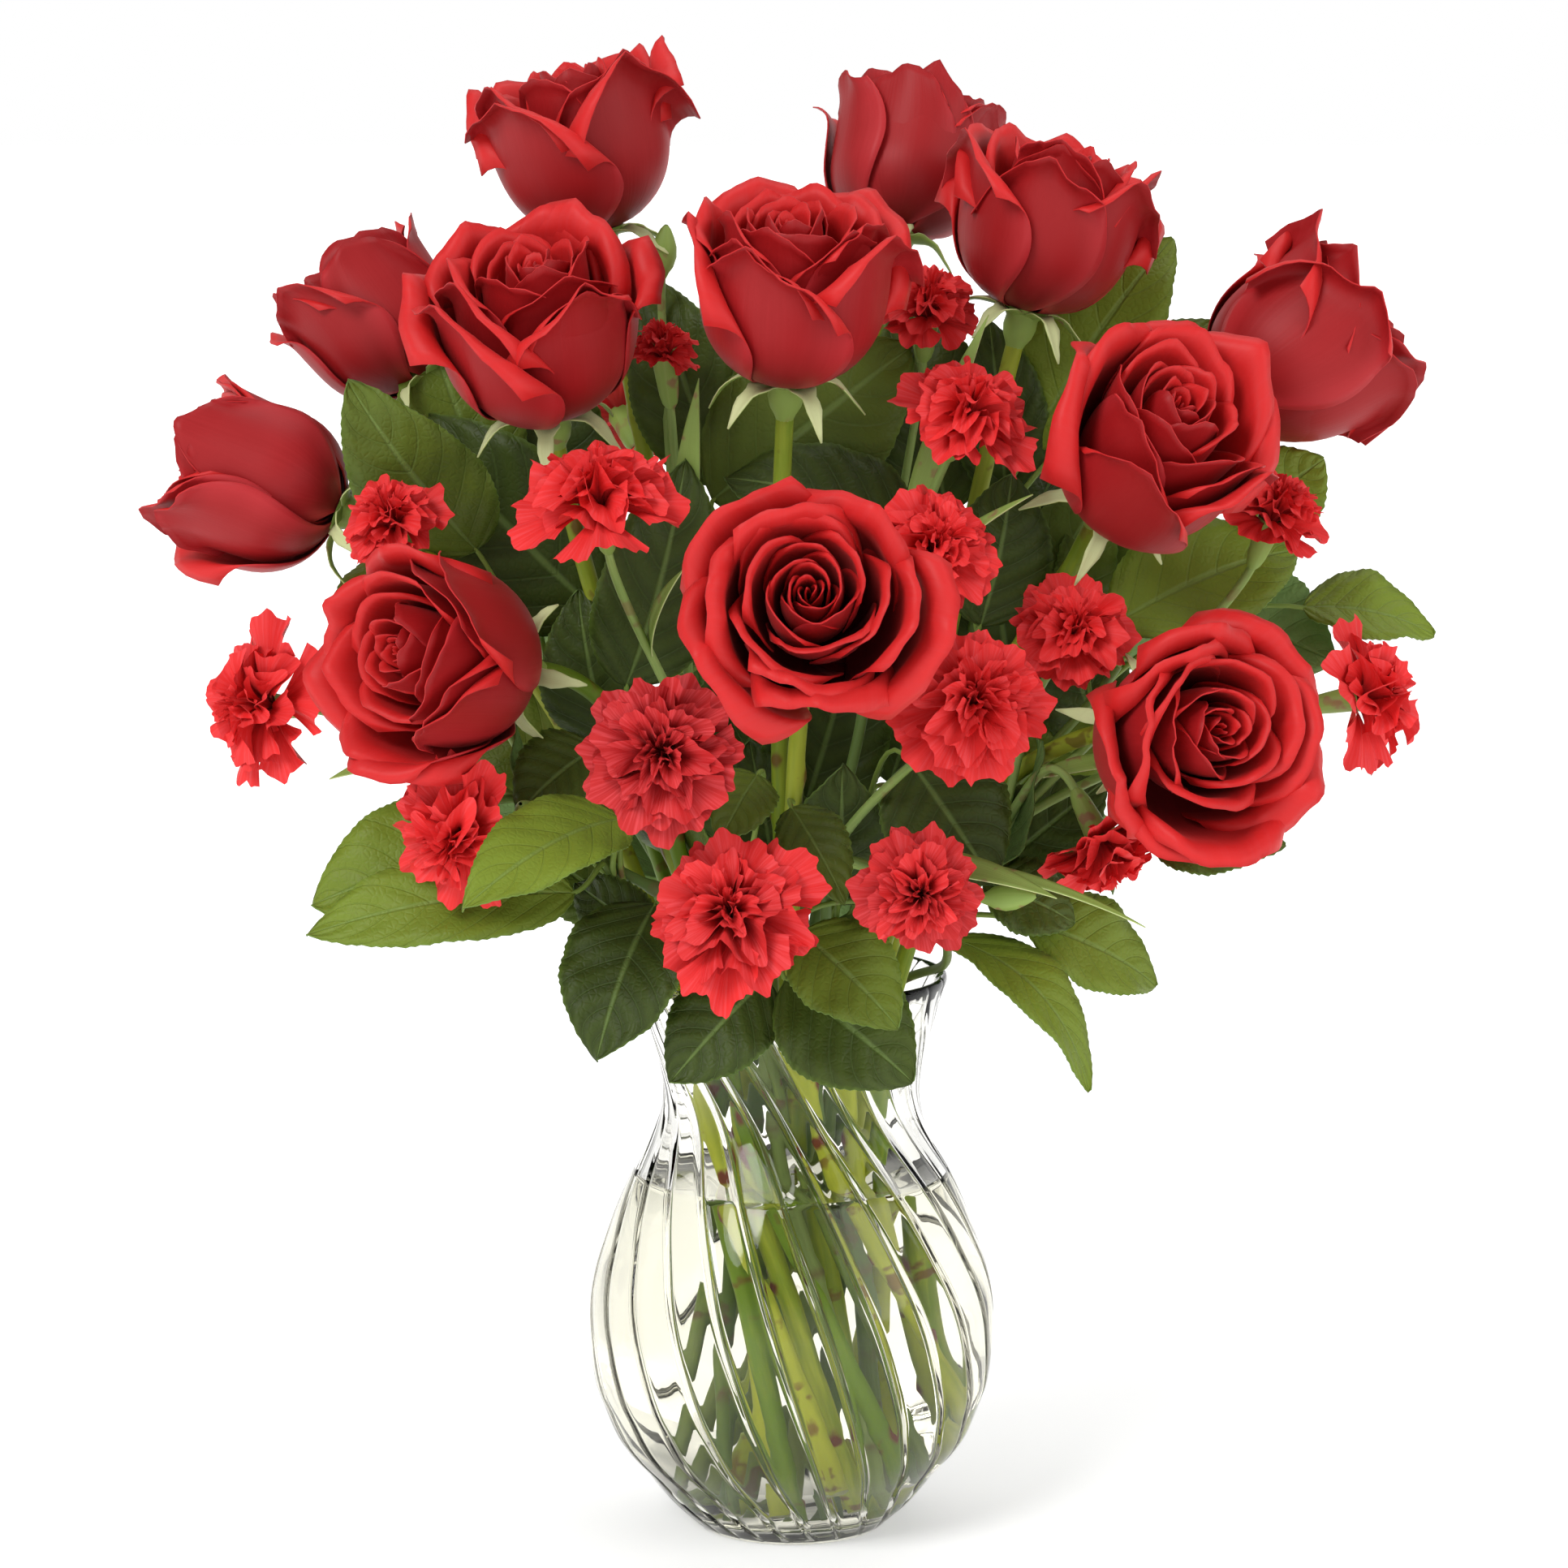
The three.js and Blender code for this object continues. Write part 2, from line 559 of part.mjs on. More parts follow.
// Rose bloom, from the calyx at 0 to the heart: a cup of 5 outer petals whose rims roll out, 3 that
// stand inside them and 3 wrapped round the heart
const rosePoints = 15;
const outerRim = { radius: 30, roll: 7 };
const roseRings = (open) => [
  { radius: 5.5, height: 0.3 },
  { radius: 20, height: 7 },
  { radius: 28.5, height: 24, petals: 5, step: 1.3 },
  { radius: 29, height: 41, petals: 5, step: 1.5 },
  { radius: outerRim.radius + outerRim.roll * open, height: 48, petals: 5, step: 1.5, dip: 4, tip: 2 },
  { radius: outerRim.radius + outerRim.roll * open - 2, height: 49.5, petals: 5, step: 1.5, dip: 4, tip: 1 },
  { radius: 25, height: 42 },
  { radius: 26, height: 58, petals: 3, step: 1.6, dip: 4 },
  { radius: 17, height: 50 },
  { radius: 13, height: 61.5, petals: 3, step: 1.6, dip: 2 },
  { radius: 4, height: 53 },
];

function makeRose(rose) {
  return layeredBloom(seat(rose, roseMiddle, rose.size), roseRings(rose.open), rosePoints);
}

// Rose stem, with a calyx under the bloom whose five sepals spread and droop
const calyx = { neck: [3.4, -10], under: [4.6, -5], top: [6.6, 0], sepal: [23, -6] };

function roseCalyx(put, index) {
  const rings = [calyx.neck, calyx.under, calyx.sepal, calyx.top].map(([radius, height]) => {
    return Array.from({ length: 10 }, (_, j) => {
      const angle = j / 10 * 2 * Math.PI + 0.3;
      const sepal = radius === calyx.sepal[0];
      const droop = sepal ? 9 * spread(index * 5 + j, 1) : 0;
      if (sepal && j % 2) return put(5.6 * Math.cos(angle), 5.6 * Math.sin(angle), -2.4);
      return put(radius * Math.cos(angle), radius * Math.sin(angle), height - droop);
    });
  });
  return loft(rings);
}

function makeRoseStem(rose, index) {
  const { along, base, put } = seat(rose, roseMiddle, rose.size);
  const neck = takeNeckPlace(base);
  const end = put(0, 0, -8);
  const name = `rose ${index + 1}`;
  const route = { to: end, arriving: along, steps: 4 };
  const line = bunchLine(name, neck, route, roseStem, [nodeName('rose', index)]);
  const stem = tube(line, line.map(() => roseStem.radius), roseStem.sides);
  return fuse([stem, roseCalyx(put, index)]);
}

// Carnation bloom: three whorls of fringed petals, each drawn in to the next between its petals
const carnationMiddle = 8;
const carnationPoints = 15;
const fringe = [{ out: 0.74, wave: 0 }, { out: 1, wave: -1 }, { out: 0.96, wave: 1 }];
const carnationRings = [
  { radius: 0.15, height: 0.3 },
  { radius: 1, height: 6, start: 0 },
  { radius: 0.42, height: 8 },
  { radius: 0.84, height: 14.5, start: 1 },
  { radius: 0.3, height: 13 },
  { radius: 0.5, height: 21, start: 2 },
  { radius: 0.16, height: 15 },
];

function makeCarnation(carnation, index) {
  const { put } = seat(carnation, carnationMiddle);
  return loft(carnationRings.map(({ radius, height, start }, row) => {
    return Array.from({ length: carnationPoints }, (_, j) => {
      const edge = start === undefined ? { out: 1, wave: 0 } : fringe[(j + start) % fringe.length];
      const r = radius * carnation.radius * edge.out;
      const wave = edge.wave * (1.2 + 1.6 * spread(index + j, row));
      const angle = j / carnationPoints * 2 * Math.PI;
      return put(r * Math.cos(angle), r * Math.sin(angle), height + wave);
    });
  }));
}

// Carnation stem: it forks to several blooms, each in a calyx cup
const calyxCup = [[2.6, 13], [4.2, 0]];
const budCup = [[2, 0], [4.4, 6], [1.4, 16]];
const budMiddle = 8;

function cupTip(put, cup, sign) {
  const line = cup.map(([, height]) => put(0, 0, sign * height));
  return { line, radii: cup.map(([radius]) => radius) };
}

function makeCarnationStem(spray, neck) {
  const label = `carnation stem ${spray.name}`;
  const rising = vector(spray.fork).sub(neck).normalize();
  const route = { to: vector(spray.fork), arriving: rising, steps: 3, loose: true };
  const main = bunchLine(label, neck, route, carnationStem);
  const fork = main.at(-1);
  const pieces = [tube(main, main.map(() => carnationStem.radius), carnationStem.sides)];
  const middles = [];
  const grow = (name, cup, along, leaveOut) => {
    const way = { from: fork, leaving: rising, to: cup.line[0], arriving: along, steps: 2 };
    const line = clearLine(`${label} ${name}`, way, branch, leaveOut).slice(0, -1);
    middles.push(line[1]);
    const radii = [...line.map(() => branch.radius), ...cup.radii];
    pieces.push(tube([...line, ...cup.line], radii, branch.sides));
  };
  for (const number of spray.blooms) {
    const { along, put } = seat(carnations[number - 1], carnationMiddle);
    grow(number, cupTip(put, calyxCup, -1), along, [nodeName('carnation', number - 1)]);
  }
  for (const bud of spray.buds) {
    const { along, put } = seat(bud, budMiddle);
    grow('bud', cupTip(put, budCup, 1), along);
  }
  for (const leaf of spray.blades) {
    const base = middles[leaf.branch].toArray();
    const shaped = { ...leaf, base, up: narrowUp, rows: narrowRows };
    pieces.push(clearLeaf(`${label} leaf`, shaped).whole);
  }
  return fuse(pieces);
}

// Greens: a leaf folds a little at its midrib, arches along it and is waved at its edge
const leafThickness = 0.8;
const leafRows = [[0.16, 0.72], [0.44, 1], [0.76, 0.62]];
const narrowRows = [[0.4, 1]];
const narrowUp = [0, -0.6, 0.8];
const stalkWidth = 2.6;
const rootStart = 2;
const rootStep = 6;
const leafFold = 0.16;
const leafWave = 0.07;

// The leaf's own axes, and the point at a part of its length, with offsets aside and up
function leafPoint({ base, tip, up, arch = 0.1 }) {
  const along = tip.clone().sub(base);
  const across = along.clone().cross(up).normalize();
  const rise = across.clone().cross(along).normalize();
  return (part, aside = 0, lift = 0) => base.clone()
    .addScaledVector(along, part)
    .addScaledVector(across, aside)
    .addScaledVector(rise, lift + arch * along.length() * 4 * part * (1 - part));
}

// A leaf from its point at the base, or from a root that a narrow stalk leads from
function leafBlade(leaf, thickness, root) {
  const at = leafPoint(leaf);
  const rows = root ? [[0, stalkWidth / leaf.width], ...leaf.rows] : leaf.rows;
  const points = [root ?? at(0)];
  rows.forEach(([part, width], row) => {
    for (const side of [-1, 0, 1]) {
      const fold = Math.abs(side) * leafFold * width;
      const wave = part ? side * (row % 2 ? leafWave : -leafWave) : 0;
      points.push(at(part, side * width * leaf.width / 2, (fold + wave) * leaf.width / 2));
    }
  });
  points.push(at(1));
  const end = points.length - 1;
  const middle = sheet(rows.length, 3).map((i) => i + 1);
  const ends = [0, 2, 1, 0, 3, 2, end - 3, end - 2, end, end - 2, end - 1, end];
  return blade(points, [...ends, ...middle], thickness);
}

// Places for a leaf: moved a little in depth or swung at its tip, as drawn first
function* leafPlaces(leaf) {
  for (const move of leafMoves) {
    for (const swing of leafSwings) {
      const base = vector(leaf.base).add(vector([0, move, 0]));
      const tip = vector(leaf.tip).add(vector([0, move + swing, 0]));
      yield { ...leaf, base, tip, up: vector(leaf.up).normalize() };
    }
  }
}

// The first place for a leaf, and for its stalk's root, that is clear of everything else. Stalks may
// cross one another and their own stem, but not a leaf
function clearLeaf(label, leaf, stem, siblings = [], roots = [undefined]) {
  let fewest = { length: Infinity };
  for (const place of leafPlaces(leaf)) {
    const fat = leafBlade(place, leafThickness + clearance * 2);
    for (const root of roots) {
      const fatWithStalk = leafBlade(place, leafThickness + clearance * 2, root);
      const hits = crossed(fatWithStalk);
      if (stem && !fat.intersect(stem).isEmpty()) hits.push({ name: 'its own stem' });
      for (const { bare, whole } of siblings) {
        const clear = fat.intersect(whole).isEmpty() && fatWithStalk.intersect(bare).isEmpty();
        if (!clear) hits.push({ name: 'a leaf beside it' });
      }
      if (!hits.length) {
        const bare = leafBlade(place, leafThickness);
        return { bare, whole: leafBlade(place, leafThickness, root), root };
      }
      if (hits.length < fewest.length) fewest = hits;
    }
  }
  throw new Error(`${label} finds no clear place past ${fewest.map((hit) => hit.name)}`);
}

// The point of a line at a distance back from its end
function beforeEnd(line, distance) {
  let at = line.length - 1;
  let left = distance;
  while (left > line[at].distanceTo(line[at - 1])) {
    left -= line[at].distanceTo(line[at - 1]);
    at -= 1;
  }
  return line[at - 1].clone().sub(line[at]).setLength(left).add(line[at]);
}

// The places along a stem's end that leaf stalks start from
function stalkRoots(line, count) {
  return Array.from({ length: count }, (_, i) => beforeEnd(line, rootStart + rootStep * i));
}

function makeGreens(spray, index, neck) {
  const label = `greens ${index + 1}`;
  const rising = vector(spray.end).sub(neck).normalize();
  const route = { to: vector(spray.end), arriving: rising, steps: 4, loose: true };
  const main = bunchLine(label, neck, route, greensStem);
  const stem = tube(main, main.map(() => greensStem.radius), greensStem.sides);
  const leaves = [];
  spray.leaves.forEach((leaf, i) => {
    const base = vector(leaf.base);
    const roots = stalkRoots(main, spray.leaves.length)
      .filter((root) => !leaves.some((other) => other.root.equals(root)))
      .sort((a, b) => a.distanceTo(base) - b.distanceTo(base));
    const shaped = { ...leaf, rows: leafRows };
    leaves.push(clearLeaf(`${label} leaf ${i + 1}`, shaped, stem, leaves, roots));
  });
  return fuse([stem, ...leaves.map(({ whole }) => whole)]);
}

function makeWater() {
  const sides = insideHeights.filter((height) => height < waterLevel);
  const levels = [floorHeight + gap, ...sides, waterLevel];
  const body = loft(levels.map((height) => insideRing(height, insideRadius(height) - gap)));
  return body.subtract(wasm.Manifold.union(stemHoles));
}

function nodeName(kind, index) {
  return `${kind}_${String(index + 1).padStart(2, '0')}`;
}

add('vase', makeVase(), glass);
roses.forEach((rose, i) => add(nodeName('rose', i), makeRose(rose), petalRed));
carnations.forEach((carnation, i) => {
  add(nodeName('carnation', i), makeCarnation(carnation, i), carnationRed);
});
roses.forEach((rose, i) => add(nodeName('rose_stem', i), makeRoseStem(rose, i), stemGreen));
for (const spray of carnationStems) {
  const stem = makeCarnationStem(spray, takeNeckPlace(vector(spray.fork)));
  add(`carnation_stem_${spray.name}`, stem, stemGreen);
}
greens.forEach((spray, i) => {
  add(nodeName('greens', i), makeGreens(spray, i, takeNeckPlace(vector(spray.end))), leafGreen);
});

add('water', makeWater(), water);

export default bouquet;
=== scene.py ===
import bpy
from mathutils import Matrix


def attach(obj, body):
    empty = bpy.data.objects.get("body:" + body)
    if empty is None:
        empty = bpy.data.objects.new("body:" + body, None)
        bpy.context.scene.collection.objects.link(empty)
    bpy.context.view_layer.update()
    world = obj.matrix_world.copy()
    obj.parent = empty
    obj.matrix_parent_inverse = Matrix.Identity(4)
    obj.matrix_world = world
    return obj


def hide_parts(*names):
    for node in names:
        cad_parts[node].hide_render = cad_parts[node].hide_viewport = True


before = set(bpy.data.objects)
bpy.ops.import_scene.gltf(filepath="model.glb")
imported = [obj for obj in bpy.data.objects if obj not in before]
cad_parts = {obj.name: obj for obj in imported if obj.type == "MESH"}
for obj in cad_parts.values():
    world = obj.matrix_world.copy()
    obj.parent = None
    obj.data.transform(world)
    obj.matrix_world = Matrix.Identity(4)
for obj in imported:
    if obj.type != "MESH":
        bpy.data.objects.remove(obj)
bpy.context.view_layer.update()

import math
import bpy
import numpy as np
from mathutils import Quaternion, Vector
from mathutils.kdtree import KDTree

# Red roses, small carnations and broad greens in a swirled glass vase of water.
# Lengths below are in millimetres, as in the frame's source, and become metres when a mesh is made.
mm = 0.001
fullTurn = 2 * math.pi
anyPhase = (0, 6.28)  # about a full turn


# Camera and light

view = {"target": (-2.4, 0, 251.6), "distance": 1600, "down": 8, "lens": 110.4, "sensor": 36, "far": 100}
# Lengths in metres here; the sky changes colour between two heights, as parts of its radius
studio = {
    "horizon": 1.0, "dome": 0.3, "fade": (0.1, 0.42), "aim": (0, 0, 0.3),
    # where each lamp stands, its strength and how wide it spreads, in degrees
    "lamps": {"key": ((-0.75, -1.0, 1.25), 1.7, 26), "side": ((1.1, -0.7, 0.9), 0.75, 40),
              "top": ((0.1, 0.35, 1.5), 0.95, 60)},
    "floorSize": 60, "floorDrop": 0.0002, "floorGlow": 0.34,
}

scene = bpy.context.scene
scene.view_settings.view_transform = "Standard"


def placeCamera():
    data = bpy.data.cameras.new("camera")
    data.lens = view["lens"]
    data.sensor_width = view["sensor"]
    data.clip_end = view["far"]
    camera = bpy.data.objects.new("camera", data)
    down = math.radians(view["down"])
    back = Vector((0, -math.cos(down), math.sin(down))) * view["distance"]
    camera.location = (Vector(view["target"]) + back) * mm
    camera.rotation_euler = (math.radians(90) - down, 0, 0)
    scene.collection.objects.link(camera)
    scene.camera = camera


def placeLamp(name, place, strength, width):
    data = bpy.data.lights.new(name, "SUN")
    data.energy = strength
    data.angle = math.radians(width)
    lamp = bpy.data.objects.new(name, data)
    lamp.location = place
    lamp.rotation_euler = (Vector(studio["aim"]) - Vector(place)).to_track_quat("-Z", "Y").to_euler()
    scene.collection.objects.link(lamp)


placeCamera()
for name, (place, strength, width) in studio["lamps"].items():
    placeLamp(name, place, strength, width)


# Shader maths

# An output of a node, with the operators that the finishes use on it
class Wire:
    def __init__(self, finish, socket):
        self.finish = finish
        self.socket = socket

    def math(self, operation, *values):
        return self.finish.node("Math", {"operation": operation}, dict(enumerate(values)))

    def __add__(self, other):
        return self.math("ADD", self, other)

    def __radd__(self, other):
        return self.math("ADD", other, self)

    def __sub__(self, other):
        return self.math("SUBTRACT", self, other)

    def __rsub__(self, other):
        return self.math("SUBTRACT", other, self)

    def __mul__(self, other):
        return self.math("MULTIPLY", self, other)

    def __rmul__(self, other):
        return self.math("MULTIPLY", other, self)

    def __abs__(self):
        return self.math("ABSOLUTE", self)


# What every point of a mesh carries: how far across and along it lies, on which side, and its tone.
# On a stem the side is how pale it is, and the tone its scars.
markNames = ("across", "along", "back", "tone")


class Nodes:
    def __init__(self, tree):
        self.tree = tree

    def node(self, kind, settings=None, values=None, output=0):
        made = self.tree.nodes.new("ShaderNode" + kind)
        for name, value in (settings or {}).items():
            setattr(made, name, value)
        for name, value in (values or {}).items():
            if isinstance(value, Wire):
                self.tree.links.new(value.socket, made.inputs[name])
            else:
                made.inputs[name].default_value = value
        return Wire(self, made.outputs[output])

    def marks(self):
        return [self.node("Attribute", {"attribute_name": name}, output="Fac") for name in markNames]

    def place(self):
        return self.node("TexCoord", output="Object")

    def noise(self, scale, detail, place=None):
        return self.node("TexNoise", {}, {"Vector": place or self.place(), "Scale": scale, "Detail": detail})

    # Noise drawn out along a petal or a stem
    def streaks(self, across, along, third):
        return self.noise(1.0, 4, self.node("CombineXYZ", {}, {0: across, 1: along, 2: third}))

    def between(self, value, low, high):
        return self.node("MapRange", {"interpolation_type": "SMOOTHSTEP"},
                         {"Value": value, "From Min": low, "From Max": high})

    def mix(self, factor, first, second):
        first, second = ((*c, 1) if isinstance(c, tuple) else c for c in (first, second))
        return self.node("Mix", {"data_type": "RGBA"}, {0: factor, 6: first, 7: second}, output=2)

    # One tint after another laid over a colour
    def over(self, colour, *layers):
        for factor, tint in layers:
            colour = self.mix(factor, colour, tint)
        return colour


class Finish(Nodes):
    def __init__(self, name, **fixed):
        self.material = bpy.data.materials.new(name)
        self.material.use_nodes = True
        super().__init__(self.material.node_tree)
        self.surface = self.tree.nodes["Principled BSDF"]
        for socket, value in fixed.items():
            self.surface.inputs[socket.replace("_", " ")].default_value = value

    def feed(self, socket, wire):
        self.tree.links.new(wire.socket, self.surface.inputs[socket])

    def bump(self, height, strength, distance):
        values = {"Height": height, "Strength": strength, "Distance": distance}
        self.feed("Normal", self.node("Bump", {}, values))


# White near the horizon, greyer overhead
def makeSky():
    world = bpy.data.worlds.new("studio")
    world.use_nodes = True
    scene.world = world
    n = Nodes(world.node_tree)
    height = n.node("SeparateXYZ", {}, {0: n.node("TexCoord", output="Generated")}, output=2)
    level = n.mix(n.between(height, *studio["fade"]), (studio["horizon"],) * 3, (studio["dome"],) * 3)
    world.node_tree.links.new(level.socket, world.node_tree.nodes["Background"].inputs["Color"])


makeSky()


# Mesh building

pieceTriangles = []


def unit(v):
    return v / np.maximum(np.linalg.norm(v, axis=-1, keepdims=True), 1e-9)


def parts(count):
    return np.arange(count) / count


def evenly(count):
    return parts(count) * fullTurn


# Places across a petal or a leaf, from -1 to 1, and along it, from 0 to 1
def sheetPlaces(rows, columns):
    return np.linspace(-1, 1, columns)[None], np.linspace(0, 1, rows)[:, None]


# How far along a line each of its points is
def walked(line):
    return np.concatenate([[0], np.cumsum(np.linalg.norm(np.diff(line, axis=0), axis=1))])


def pointsAt(line, distances):
    at = walked(line)
    return np.stack([np.interp(distances, at, column) for column in line.T], -1)


def roundAxis(radius, angle, height):
    radius, angle, height = np.broadcast_arrays(radius, angle, height)
    return np.stack([radius * np.cos(angle), radius * np.sin(angle), height], -1)


# A curve from a to c that leans towards b
def arc(t, a, b, c):
    return (1 - t) ** 2 * a + 2 * t * (1 - t) * b + t * t * c


def bezier(controls, steps):
    t = np.linspace(0, 1, steps + 1)[:, None]
    a, b, c, d = controls
    return (1 - t)**3 * a + 3 * (1 - t)**2 * t * b + 3 * (1 - t) * t**2 * c + t**3 * d


# Smooth curve through (position, value) rows
def smoothRow(rows, at):
    x, y = np.array(rows, float).T
    slope = np.gradient(y, x)
    i = np.clip(np.searchsorted(x, at) - 1, 0, len(x) - 2)
    h = x[i + 1] - x[i]
    t = np.clip((at - x[i]) / h, 0, 1)
    return ((2 * t**3 - 3 * t**2 + 1) * y[i] + (t**3 - 2 * t**2 + t) * h * slope[i]
            + (-2 * t**3 + 3 * t**2) * y[i + 1] + (t**3 - t**2) * h * slope[i + 1])


# Rings round a line, turned as in the frame's source
def tubeRings(line, radii, sides):
    across = np.array((1, 0.37, 0.11))
    angle = evenly(sides)[:, None]
    rings = []
    for i, point in enumerate(line):
        along = unit(line[min(i + 1, len(line) - 1)] - line[max(i - 1, 0)])
        across = unit(across - along * across.dot(along))
        rings.append(point + radii[i] * (np.cos(angle) * across + np.sin(angle) * np.cross(along, across)))
    return np.array(rings)


def gridFaces(rows, columns, closed=False):
    i, j = np.meshgrid(np.arange(rows - 1), np.arange(columns if closed else columns - 1), indexing="ij")
    k = (j + 1) % columns
    return np.stack([i * columns + j, i * columns + k, (i + 1) * columns + k, (i + 1) * columns + j],
                    -1).reshape(-1, 4)


def gridMarks(points, *marks):
    return np.stack([np.broadcast_to(mark, points.shape[:2]) for mark in marks], -1)


# Gathers grids of points, and makes them one mesh
class Shape:
    def __init__(self):
        self.points, self.marks, self.faces, self.skins, self.count = [], [], [], [], 0

    def add(self, points, marks, faces, skin):
        self.points.append(points.reshape(-1, 3))
        self.marks.append(marks.reshape(-1, 4))
        self.faces.append(faces + self.count)
        self.skins.append(np.full(len(faces), skin))
        self.count += len(self.points[-1])

    def grid(self, points, across, along, back=0.0, tone=0.0, skin=0, closed=False, flip=False):
        faces = gridFaces(*points.shape[:2], closed)
        marks = gridMarks(points, across, along, back, tone)
        self.add(points, marks, faces[:, ::-1] if flip else faces, skin)

    # Both faces of a thin sheet, and its edge
    def sheet(self, points, across, along, thickness, tone, skin=0):
        rows, columns = points.shape[:2]
        size = rows * columns
        half = unit(np.cross(np.gradient(points, axis=1), np.gradient(points, axis=0))) * thickness / 2
        rim = np.concatenate([np.arange(columns - 1), np.arange(rows - 1) * columns + columns - 1,
                              size - 1 - np.arange(columns - 1), (rows - 1 - np.arange(rows - 1)) * columns])
        following = np.roll(rim, -1)
        edge = np.stack([rim, rim + size, following + size, following], 1)
        front = gridFaces(rows, columns)
        marks = np.stack([gridMarks(points, across, along, back, tone) for back in (0.0, 1.0)])
        self.add(np.stack([points + half, points - half]), marks,
                 np.concatenate([front, front[:, ::-1] + size, edge]), skin)

    def tube(self, line, radii, sides, tone=0.0, caps=True, shade=0.3):
        rings = tubeRings(line, radii, sides)
        along = walked(line)[:, None]
        tone = np.broadcast_to(np.reshape(tone, (-1, 1)), (len(line), sides))
        self.grid(rings, parts(sides), along, shade, tone, closed=True)
        if caps:
            for end, order in ((0, 1), (-1, -1)):
                cap = np.stack([np.broadcast_to(line[end], (sides, 3)), rings[end]])[::order]
                self.grid(cap, parts(sides), along[end], 1.0, tone[end], closed=True)

    def mesh(self, name, materials):
        points = np.concatenate(self.points) * mm
        faces = np.concatenate(self.faces)
        data = bpy.data.meshes.new(name)
        data.vertices.add(len(points))
        data.vertices.foreach_set("co", points.astype(np.float32).ravel())
        data.loops.add(faces.size)
        data.loops.foreach_set("vertex_index", faces.astype(np.int32).ravel())
        data.polygons.add(len(faces))
        data.polygons.foreach_set("loop_start", np.arange(len(faces), dtype=np.int32) * 4)
        for material in materials:
            data.materials.append(material)
        data.polygons.foreach_set("material_index", np.concatenate(self.skins).astype(np.int32))
        data.polygons.foreach_set("use_smooth", np.full(len(faces), True))
        marks = np.concatenate(self.marks).astype(np.float32)
        for i, mark in enumerate(markNames):
            data.attributes.new(mark, "FLOAT", "POINT").data.foreach_set("value", marks[:, i])
        data.update(calc_edges=True)
        data.validate()
        pieceTriangles.append(len(faces) * 2)
        made = bpy.data.objects.new(name, data)
        scene.collection.objects.link(made)
        return made


# Makes the mesh, hangs it under the root, and hides the piece of the frame that it stands for
def stand(shape, name, skins, node):
    piece = shape.mesh(name, skins)
    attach(piece, "root")
    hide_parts(node)


# A number from 0 to 1 that differs from one index to the next
def spread(index, kind):
    return (index * 0.618034 + kind * 0.414214) % 1


# A bloom's own axes, +Z along its facing: the facing, the foot of the bloom, and the way to its place
def seat(flower, middle):
    size = flower.get("size", 1.0)
    along = unit(np.array(flower["facing"], float))
    swing = Quaternion((1 + along[2], -along[1], along[0], 0)).normalized()
    spin = Quaternion((0, 0, 1), math.radians(flower.get("turn", 0)))
    turn = np.array((swing @ spin).to_matrix())
    base = np.array(flower["at"], float) - along * middle * size
    return along, base, lambda points: np.asarray(points, float) * size @ turn.T + base


# Where things are, as in the frame's source

def records(names, rows):
    return [dict(zip(names.split(), row)) for row in rows]


# Each rose: its middle, where it looks, its size, how far it is open, its turn
roses = records("at facing size open turn", [
    ((-69, 15, 462), (-0.2, -0.1, 0.97), 1.0, 1.0, 20),
    ((40, 62, 455), (0.2, 0.45, 0.87), 0.94, 0.7, 50),
    ((84, 5, 436), (0.25, -0.1, 0.96), 1.0, 1.0, 0),
    ((0, -60, 417), (0.05, -0.35, 0.93), 1.05, 0.9, 65),
    ((-138, 35, 403), (-0.6, 0.3, 0.74), 0.9, 0.8, 10),
    ((-80, -50, 404), (-0.1, -0.45, 0.89), 1.03, 1.0, 30),
    ((168, 10, 395), (0.8, 0.2, 0.55), 1.05, 0.9, 40),
    ((-174, -5, 354), (-0.92, 0.05, 0.38), 0.98, 0.7, 15),
    ((115, -60, 367), (0.38, -0.62, 0.55), 1.03, 1.1, 35),
    ((-110, -74, 300), (-0.68, -0.72, 0.12), 1.03, 1.1, 5),
    ((6, -135, 323), (0.02, -0.95, 0.28), 1.0, 1.0, 60),
    ((126, -85, 279), (0.4, -0.88, 0.08), 1.03, 1.15, 25),
])

# Each carnation: its middle, where it looks, its radius, its turn
carnations = records("at facing radius turn", [
    ((45, 2, 411), (0.05, -0.5, 0.86), 17, 10),
    ((-42, -5, 398), (-0.1, -0.3, 0.95), 12, 40),
    ((57, -55, 379), (0.3, -0.6, 0.7), 25, 5),
    ((-60, -85, 355), (-0.1, -0.5, 0.86), 30, 25),
    ((-128, -45, 344), (-0.3, -0.6, 0.7), 18, 15),
    ((45, -75, 338), (0.3, -0.75, 0.55), 22, 35),
    ((157, -30, 346), (0.3, -0.35, 0.87), 19, 50),
    ((-174, -30, 282), (-0.74, -0.62, 0.15), 28, 0),
    ((-40, -110, 277), (-0.1, -0.95, 0.25), 26, 30),
    ((56, -105, 292), (0.2, -0.86, 0.42), 27, 60),
    ((91, -46, 308), (0.2, -0.75, 0.6), 21, 20),
    ((189, -30, 285), (0.9, -0.3, 0.2), 27, 45),
    ((-105, -80, 246), (-0.3, -0.9, -0.25), 27, 10),
    ((101, -58, 238), (0.42, -0.32, -0.82), 22.5, 55),
    ((-19, -110, 227), (-0.1, -0.86, 0.42), 29, 0),
    ((40, -105, 232), (0.1, -0.97, 0.1), 20, 30),
    ((-60, 80, 372), (-0.3, 0.75, 0.6), 24, 15),
    ((88, 85, 345), (0.35, 0.8, 0.5), 24, 5),
])

